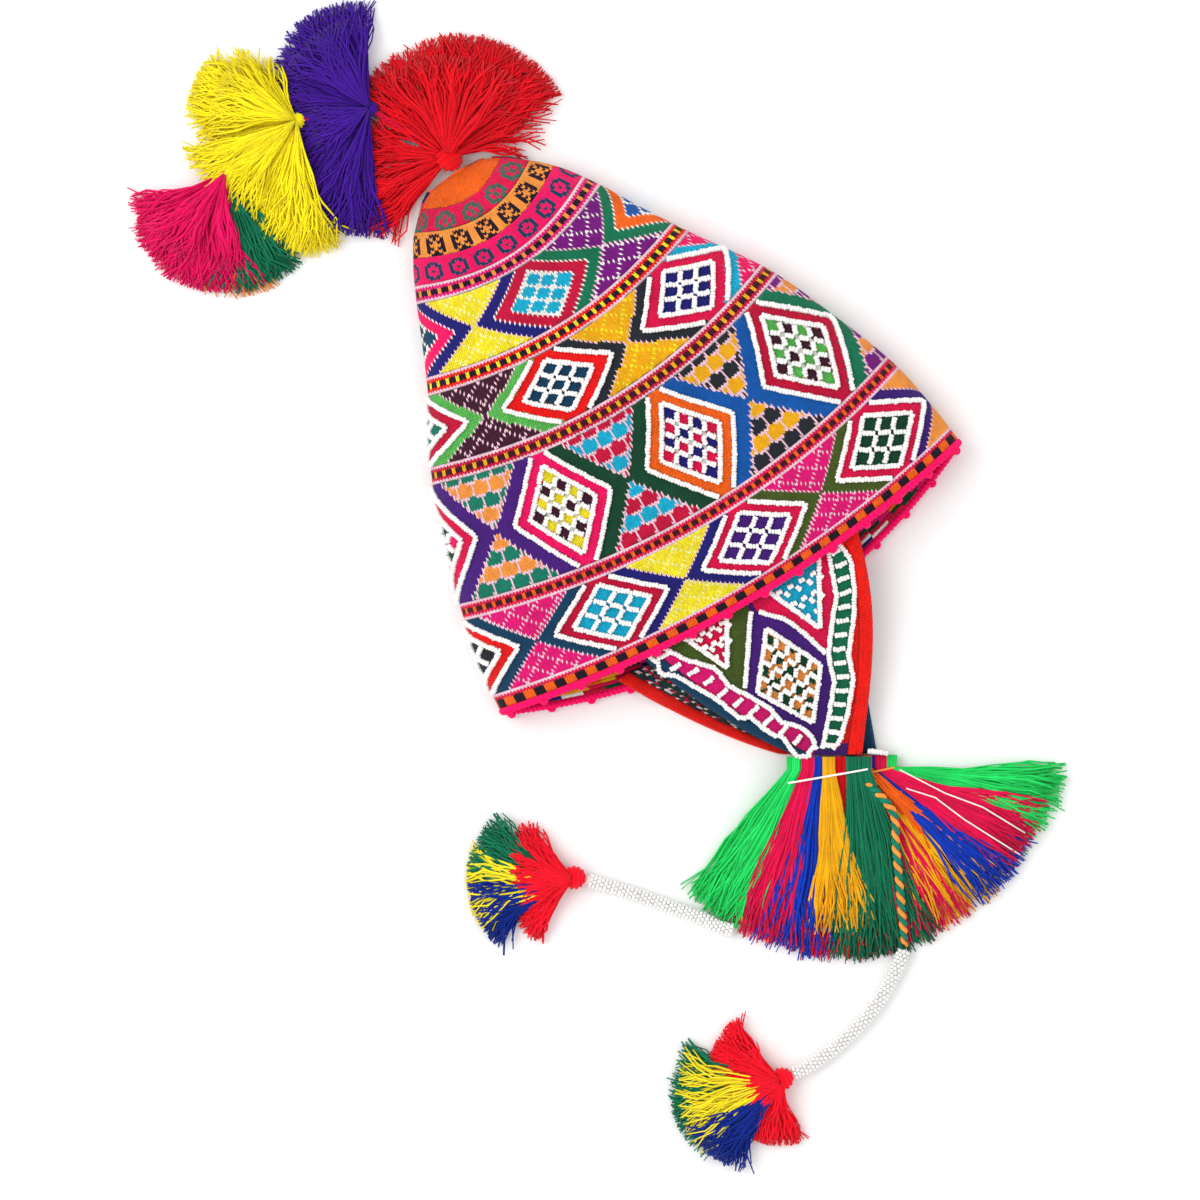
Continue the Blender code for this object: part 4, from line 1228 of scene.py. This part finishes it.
def fan_of_strands(centre, root_radius, fans, length, rise, seed):
    """Cut strands fanned out from a head, each lying on those below it.

    Each row of fans is a wool and its fans. Columns of a fan: first and last bearing in degrees,
    reach at each, layer, strands. A layer runs from 0, on the floor, to 1, at the height rise.
    """
    pick = np.random.default_rng(seed)
    share = np.linspace(0.0, 1.0, STATIONS)
    paths, radii, colours = [], [], []
    rows = [(wool_name, *fan) for wool_name, *wool_fans in fans for fan in wool_fans]
    for wool_name, first, last, first_reach, last_reach, layer, count in rows:
        count = round(count * FULLNESS)
        at = pick.uniform(0.0, 1.0, count)
        bearing = np.radians(first + (last - first) * at)
        reach = (first_reach + (last_reach - first_reach) * at) * length
        reach *= 1.0 - 0.16 * pick.random(count) ** 2.0
        lock = (at * LOCKS).astype(int)
        bend = np.radians(pick.normal(0.0, 6.0, LOCKS)[lock] + pick.normal(0.0, 4.0, count))
        layer_at = np.clip(layer + pick.uniform(-0.3, 0.3, count), 0.0, 1.0)[:, None]
        phase = pick.uniform(0.0, 6.3, LOCKS)[lock] + pick.normal(0.0, 0.5, count)
        wave = np.sin(share * pick.uniform(6.0, 11.0, (count, 1)) + phase[:, None]) * share
        turn = bearing[:, None] + bend[:, None] * share**1.5 + np.radians(4.5) * wave
        run = root_radius * 0.3 + (reach[:, None] - root_radius * 0.3) * share
        start = centre[2] + (layer_at - 0.35) * root_radius * 1.9
        pile = PILE_FOOT + layer_at * rise * (1.0 - 0.5 * share**2)
        z = start + (pile - start) * eased(share / 0.5)
        z = np.maximum(z + RIPPLE * np.sin(share * 9.0 + bearing[:, None] * 40.0), LOWEST_STRAND)
        x, y = centre[0] + np.cos(turn) * run, centre[1] + np.sin(turn) * run
        paths.append(np.stack((x, y, z), axis=2))
        radii.append(STRAND_RADIUS * STRAND_TAPER * pick.uniform(0.75, 1.25, (count, 1)))
        colours.append(np.array(WOOLS[wool_name]) * pick.uniform(0.84, 1.12, (count, 1)))
    return np.concatenate(paths), np.concatenate(radii), np.concatenate(colours)


def wound_head(centre, radius, axis):
    """A ball of wool wound round an axis given by its bearing in degrees, over a plain core."""
    bpy.ops.mesh.primitive_uv_sphere_add(
        segments=14, ring_count=8, radius=radius * 0.9, location=(0, 0, 0)
    )
    core = small_shape(bpy.context.object)
    share = np.linspace(0.03, 0.97, HEAD_TURNS * 14)
    polar, round_axis = math.pi * share, 2 * math.pi * HEAD_TURNS * share
    cosine, sine = math.cos(math.radians(axis)), math.sin(math.radians(axis))
    wind = np.stack((
        np.cos(polar), np.sin(polar) * np.cos(round_axis), np.sin(polar) * np.sin(round_axis),
    ), axis=1) @ np.array(((cosine, sine, 0.0), (-sine, cosine, 0.0), (0.0, 0.0, 1.0)))
    wound = yarns_along(5, [wind * radius * 0.88 + centre], radius * 0.17)
    return (core[0] + centre, core[1], core[2]), wound


def make_tassel(name, node, slot, centre, head_radius, head_wool, axis, fans, length, rise, seed):
    """A tassel's piece: its strands and the head that is wound over a core."""
    centre = np.array(centre)
    paths, radii, colours = fan_of_strands(centre, head_radius, fans, length, rise, seed)
    core, wound = wound_head(centre, head_radius, axis)
    loose = copies(strand, lay_yarns(strand, paths, radii))
    piece = new_piece(name, *joined((loose, core, wound)), tassel_finish, slot)
    head_points = len(core[0]) + len(wound[0])
    dye(piece, np.vstack((
        np.repeat(colours, len(strand[0]), axis=0), np.tile(WOOLS[head_wool], (head_points, 1)),
    )))
    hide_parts(node)


TASSEL_LENGTH = 0.060
TIP_KNOT = (-0.00645, 0.2433, 0.0073)
RED_FANS = ((
    "blood red", (176, 198, 0.96, 0.84, 0.2, 60), (130, 178, 0.72, 0.80, 0.3, 90),
    (96, 140, 0.86, 0.60, 0.4, 50), (64, 104, 1.00, 0.92, 0.3, 140), (50, 66, 0.76, 0.80, 0.3, 40),
    (28, 52, 1.02, 1.02, 0.4, 120), (2, 36, 1.06, 1.04, 0.3, 130), (-16, 8, 0.62, 1.02, 0.4, 50),
    (12, 92, 0.84, 0.84, 0.8, 120), (20, 84, 0.62, 0.66, 1.0, 70),
),)
PURPLE_FANS = ((
    "royal purple", (62, 96, 0.88, 0.94, 0.3, 110), (92, 128, 0.94, 0.80, 0.3, 110),
    (128, 168, 0.80, 0.70, 0.2, 40), (-152, -132, 0.84, 1.06, 0.3, 90),
    (-146, -134, 0.96, 1.06, 0.7, 60), (72, 118, 0.76, 0.76, 0.8, 90),
    (-168, -152, 0.55, 0.80, 0.2, 24), (124, 168, 0.76, 0.64, 0.4, 100),
    (164, 202, 0.66, 0.90, 0.4, 120), (200, 238, 0.92, 1.06, 0.4, 130),
    (150, 200, 0.50, 0.56, 0.9, 60),
),)
YELLOW_FANS = ((
    "bright yellow", (82, 112, 0.48, 0.86, 0.3, 70), (108, 142, 0.90, 0.92, 0.3, 130),
    (140, 182, 0.86, 0.74, 0.2, 60), (-138, -112, 0.92, 1.12, 0.3, 110),
    (-126, -110, 0.96, 1.08, 0.7, 50), (100, 150, 0.70, 0.72, 0.8, 90),
    (170, 206, 0.96, 0.86, 0.9, 120), (204, 246, 0.84, 1.12, 0.4, 140),
),)
MAGENTA_FANS = (
    ("cerise", (170, 192, 0.80, 0.88, 0.3, 70), (190, 216, 0.90, 0.96, 0.3, 130),
     (214, 246, 0.98, 0.96, 0.3, 130)),
    ("green", (244, 264, 0.98, 0.96, 0.3, 80), (262, 276, 0.96, 0.92, 0.2, 36)),
    ("light orange", (232, 262, 1.02, 1.0, 0.05, 40)),
    ("cerise", (186, 240, 0.78, 0.80, 0.8, 100)),
)
make_tassel(
    "red_tip_tassel", "red_tassel", "red_yarn", TIP_KNOT, 0.0068, "blood red", 96.0, RED_FANS,
    TASSEL_LENGTH, 0.0135, 21,
)
TIP_PLACES = {
    "purple": ((-0.02618, 0.28375, 0.0058), "royal purple", 20.0, PURPLE_FANS, 22),
    "yellow": ((-0.05932, 0.29782, 0.0058), "bright yellow", 30.0, YELLOW_FANS, 23),
    "magenta": ((-0.10212, 0.29482, 0.0058), "cerise", 110.0, MAGENTA_FANS, 24),
}
STRING_STEPS = 60
STRING_PLY = 0.0008
STRING_REACH = 0.0007
string_finish = yarn_finish("string_wool", fineness=1700.0, variation=0.4)
string_start = TIP_KNOT
for label, (place, head_wool, axis, fans, seed) in TIP_PLACES.items():
    make_tassel(
        f"{label}_tip_tassel", f"{label}_tassel", f"{label}_yarn", place, 0.0040, head_wool, axis,
        fans, TASSEL_LENGTH, 0.0130, seed,
    )
    route = np.linspace(string_start, place, STRING_STEPS)
    _, beside, above = sides_of(route[None])
    turns = np.linspace(0.0, 16 * math.pi, STRING_STEPS)
    plies = plies_round(route, beside[0], above[0], turns, STRING_REACH)
    string = new_piece(
        f"{label}_string", *yarns_along(6, plies, STRING_PLY), string_finish, "string_yarn"
    )
    dye(string, WOOLS["dark crimson"])
    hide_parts(f"{label}_tassel_string")
    string_start = place

# Flap tassels: seven or eight bunches of wool in different dyes are drawn flat over each flap's
# tip, bound across with one thread, and cut so that they fan out.
HEAD_LENGTH = 0.013
FRINGE_LENGTH = 0.095
FRINGE_PILE = 0.0088
FRINGE_TAPER = np.array((1.0, 0.95, 1.0, 1.1, 1.1, 1.05, 0.75))
STRAY_RADIUS = 0.0004
THREAD_RADIUS = 0.00055
THREAD_STEPS = 60
# Columns: wool, from and to along the head, which runs from -1 to 1, first and last bearing in
# degrees, reach at each, layer, strands.
NEAR_BUNCHES = (
    ("bright green", -0.98, -0.66, -161, -143, 0.80, 0.88, 0.5, 150),
    ("crimson", -0.66, -0.36, -143, -131, 0.88, 0.92, 0.5, 120),
    ("royal blue", -0.36, -0.14, -134, -124, 0.90, 0.94, 0.5, 90),
    ("golden", -0.14, 0.12, -125, -112, 0.84, 0.84, 0.95, 80),
    ("blood red", 0.12, 0.42, -131, -110, 0.96, 0.96, 0.3, 150),
    ("green", 0.42, 0.98, -120, -104, 0.97, 0.93, 0.6, 150),
    ("royal blue", -0.10, 0.10, -133, -120, 0.97, 0.97, 0.1, 50),
)
FAR_BUNCHES = (
    ("bright green", 0.60, 0.98, -54, -36, 0.84, 0.88, 0.6, 160),
    ("crimson", 0.40, 0.70, -67, -54, 0.84, 0.84, 0.8, 160),
    ("royal blue", 0.22, 0.48, -81, -64, 0.90, 0.88, 0.6, 160),
    ("golden", 0.05, 0.30, -94, -79, 0.90, 0.90, 0.5, 100),
    ("crimson", -0.12, 0.12, -107, -91, 0.94, 0.92, 0.5, 110),
    ("dark green", -0.35, -0.05, -121, -103, 0.98, 0.96, 0.4, 140),
    ("orange", 0.10, 0.30, -84, -72, 0.50, 0.56, 0.95, 22),
    ("navy", 0.10, 0.45, -86, -60, 0.80, 0.80, 0.2, 60),
)
# Two loose ends of white thread that lie over the far tassel.
STRAY_THREADS = (
    ((0.0193, -0.1247, 0.0100), (0.0318, -0.1461, 0.0112), (0.0438, -0.1619, 0.0098),
     (0.0546, -0.1837, 0.0070)),
    ((0.0172, -0.1342, 0.0100), (0.0267, -0.1454, 0.0112), (0.0329, -0.1619, 0.0098),
     (0.0469, -0.1914, 0.0070)),
)
fringe_finish = yarn_finish("fringe_wool", fineness=1900.0, variation=0.45, sheen=0.12)
# Columns: middle of the head, its width, wool of the thread, bunches, seed, loose threads.
FRINGES = {
    "near": ((-0.00959, -0.10638, 0.0105), 0.041, "white", NEAR_BUNCHES, 31, ()),
    "far": ((0.00378, -0.11429, 0.0036), 0.036, "light orange", FAR_BUNCHES, 32, STRAY_THREADS),
}
head_along = np.array((math.cos(FLAP_TURN), math.sin(FLAP_TURN), 0.0))
head_down = np.array((math.sin(FLAP_TURN), -math.cos(FLAP_TURN), 0.0))
for label, (place, head_width, thread_wool, bunches, seed, threads) in FRINGES.items():
    pick = np.random.default_rng(seed)
    place = np.array(place)
    paths, radii, colours = [], [], []
    for wool_name, from_along, to_along, first, last, first_reach, last_reach, level, count in bunches:
        count = round(count * FULLNESS)
        at = np.sort(pick.random(count))
        layer = np.clip(level + pick.uniform(-0.35, 0.35, count), 0.0, 1.0)
        root = (from_along + (to_along - from_along) * at) * head_width / 2
        bearing = np.radians(first + (last - first) * at + pick.normal(0.0, 2.0, count))
        reach = (first_reach + (last_reach - first_reach) * at) * FRINGE_LENGTH
        reach *= 1.0 - 0.14 * pick.random(count) ** 2.0
        start = place + root[:, None] * head_along
        start[:, 2] += (layer - 0.5) * HEAD_THICKNESS * 0.82
        fan = np.stack((np.cos(bearing), np.sin(bearing), np.zeros(count)), axis=1)
        side = np.stack((-np.sin(bearing), np.cos(bearing), np.zeros(count)), axis=1)
        lock = (at * LOCKS).astype(int)
        bend = pick.normal(0.0, 0.07, LOCKS)[lock] + pick.normal(0.0, 0.03, count)
        phase = pick.uniform(0.0, 6.3, LOCKS)[lock] + pick.normal(0.0, 0.5, count)
        path = np.empty((count, STATIONS, 3))
        path[:, 0] = start - head_down * HEAD_LENGTH * 0.48
        path[:, 1] = start
        for station in range(2, STATIONS):
            out = (station - 1) / (STATIONS - 2)
            sway = (bend * out**2 + 0.026 * out * np.sin(out * 9.0 + phase)) * reach
            path[:, station] = start + fan * (reach * out)[:, None] + side * sway[:, None]
            pile = PILE_FOOT + layer * FRINGE_PILE * (1.0 - 0.5 * out**2)
            path[:, station, 2] = start[:, 2] + (pile - start[:, 2]) * eased(out / 0.55)
        path[:, -1] += pick.normal(0.0, 0.0014, (count, 3))
        path[:, -2] += pick.normal(0.0, 0.0006, (count, 3))
        path[:, :, 2] = np.maximum(path[:, :, 2], LOWEST_STRAND)
        paths.append(path)
        radii.append(STRAND_RADIUS * 1.05 * FRINGE_TAPER * pick.uniform(0.75, 1.25, (count, 1)))
        colours.append(np.array(WOOLS[wool_name]) * pick.uniform(0.82, 1.12, (count, 1)))
    for route in threads:
        at = np.linspace(0.0, len(route) - 1, STATIONS)
        paths.append(read_at(at, range(len(route)), route)[None])
        radii.append(np.full((1, STATIONS), STRAY_RADIUS))
        colours.append(np.array([WOOLS["white"]]))
    loose = copies(strand, lay_yarns(strand, np.concatenate(paths), np.concatenate(radii)))
    turn = np.linspace(0.0, 2 * math.pi, THREAD_STEPS + 1)[:, None]
    square = np.abs(np.cos(turn)) ** 0.35 * np.sign(np.cos(turn))
    thread = (
        place + head_along * square * head_width * 0.49 + head_down * (0.0030 - 0.0034 * square)
        + np.array((0.0, 0.0, 1.0)) * np.sin(turn) * (HEAD_THICKNESS / 2 + 0.0003)
    )
    thread[:, 2] = np.maximum(thread[:, 2], 0.0006)
    bound = yarns_along(6, [thread], THREAD_RADIUS)
    fringe = new_piece(
        f"{label}_fringe", *joined((loose, bound)), fringe_finish, f"{label}_fringe_yarn"
    )
    dye(fringe, np.vstack((
        np.repeat(np.concatenate(colours), len(strand[0]), axis=0),
        np.tile(WOOLS[thread_wool], (len(bound[0]), 1)),
    )))
    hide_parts(f"{label}_flap_tassel")

# Far tassel beads: a short string of the same white glass seed beads, laid round the right end of
# the far tassel's head.
head_beads = BeadWork()
bead_line = np.linspace((0.0112, -0.1090, 0.0086), (0.0190, -0.1152, 0.0070), 9)
head_beads.sew(bead_line, np.tile((0.0, 0.0, 1.0), (9, 1)))
head_beads.finished("far_head_beads", "seed_beads")

# Beaded ropes: a cotton core wrapped all round in rows of white seed beads, eight to a row, each
# row set half a bead on from the last.
ROPE_ROUTES = {
    "left": (
        (-0.0908, -0.1481, 0.0039), (-0.0960, -0.1425, 0.0039), (-0.0988, -0.1375, 0.0039),
        (-0.1043, -0.1300, 0.0039), (-0.1157, -0.1154, 0.0039), (-0.1269, -0.1014, 0.0039),
        (-0.1380, -0.0890, 0.0039),
    ),
    "right": (
        (-0.0252, -0.2003, 0.0039), (-0.0342, -0.2070, 0.0039), (-0.0485, -0.2146, 0.0039),
        (-0.0625, -0.2195, 0.0039), (-0.0769, -0.2224, 0.0039), (-0.0931, -0.2236, 0.0039),
        (-0.1035, -0.2226, 0.0039),
    ),
}
ROPE_CORE = 0.0022
ROPE_ROW = 0.00185
ROPE_BEADS = 8
ROPE_BEAD_SIZE = np.array(((0.00102,), (0.00102,), (0.00092,)))
for side, route in ROPE_ROUTES.items():
    middle = smooth_route(route, 0.0012)
    core = yarns_along(8, [middle], ROPE_CORE)
    ways = np.stack([middle, *(way[0] for way in sides_of(middle[None]))])
    marks = travelled(middle)
    places = []
    for row in range(int(marks[-1] / ROPE_ROW)):
        for bead in range(ROPE_BEADS):
            at = (row + 0.5 + 0.06 * bead) * ROPE_ROW
            spot, along, beside, above = (read_at(at, marks, way) for way in ways)
            angle = 2 * math.pi * (bead + 0.5 * (row % 2)) / ROPE_BEADS
            out = math.cos(angle) * beside + math.sin(angle) * above
            turned = BEAD[0] @ (ROPE_BEAD_SIZE * np.stack((out, along, np.cross(out, along))))
            places.append(spot + out * (ROPE_CORE + 0.00045) + turned)
    rope = new_piece(
        f"{side}_bead_rope", *joined((core, copies(BEAD, places))), GLASS, "seed_beads"
    )
    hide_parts(f"{side}_beaded_rope")

# Rope pompoms: each rope ends in a wound red knot with short red strands over a longer tuft cut
# from green, yellow and blue wool.
POMPOM_LENGTH = 0.055
POMPOMS = {
    "left": ((-0.14226, -0.08482, 0.0061), 149.0, (
        ("pompom red", (100, 118, 0.56, 0.70, 0.4, 60), (178, 202, 0.60, 0.68, 0.4, 70),
         (116, 182, 0.62, 0.56, 0.8, 130), (106, 196, 0.42, 0.42, 1.0, 70)),
        ("green", (123, 146, 0.90, 0.96, 0.4, 140)), ("yellow", (142, 162, 0.96, 0.96, 0.45, 90)),
        ("deep blue", (158, 180, 0.95, 0.92, 0.5, 140)), ("yellow", (160, 170, 0.84, 0.88, 0.5, 12)),
    ), 41),
    "right": ((-0.10939, -0.22160, 0.0061), 173.0, (
        ("pompom red", (102, 136, 0.68, 0.66, 0.4, 110), (202, 248, 0.60, 0.60, 0.4, 100),
         (134, 206, 0.52, 0.52, 0.8, 120), (112, 236, 0.40, 0.40, 1.0, 60)),
        ("green", (139, 168, 0.92, 1.02, 0.3, 130)), ("yellow", (142, 184, 0.90, 0.98, 0.6, 80)),
        ("green", (166, 186, 1.02, 1.0, 0.3, 60)), ("deep blue", (182, 207, 0.96, 0.90, 0.6, 170)),
    ), 42),
}
for side, (place, axis, fans, seed) in POMPOMS.items():
    make_tassel(
        f"{side}_rope_pompom", f"{side}_pompom", f"{side}_pompom_yarn", place, 0.0057, "pompom red",
        axis, fans, POMPOM_LENGTH, 0.0125, seed,
    )
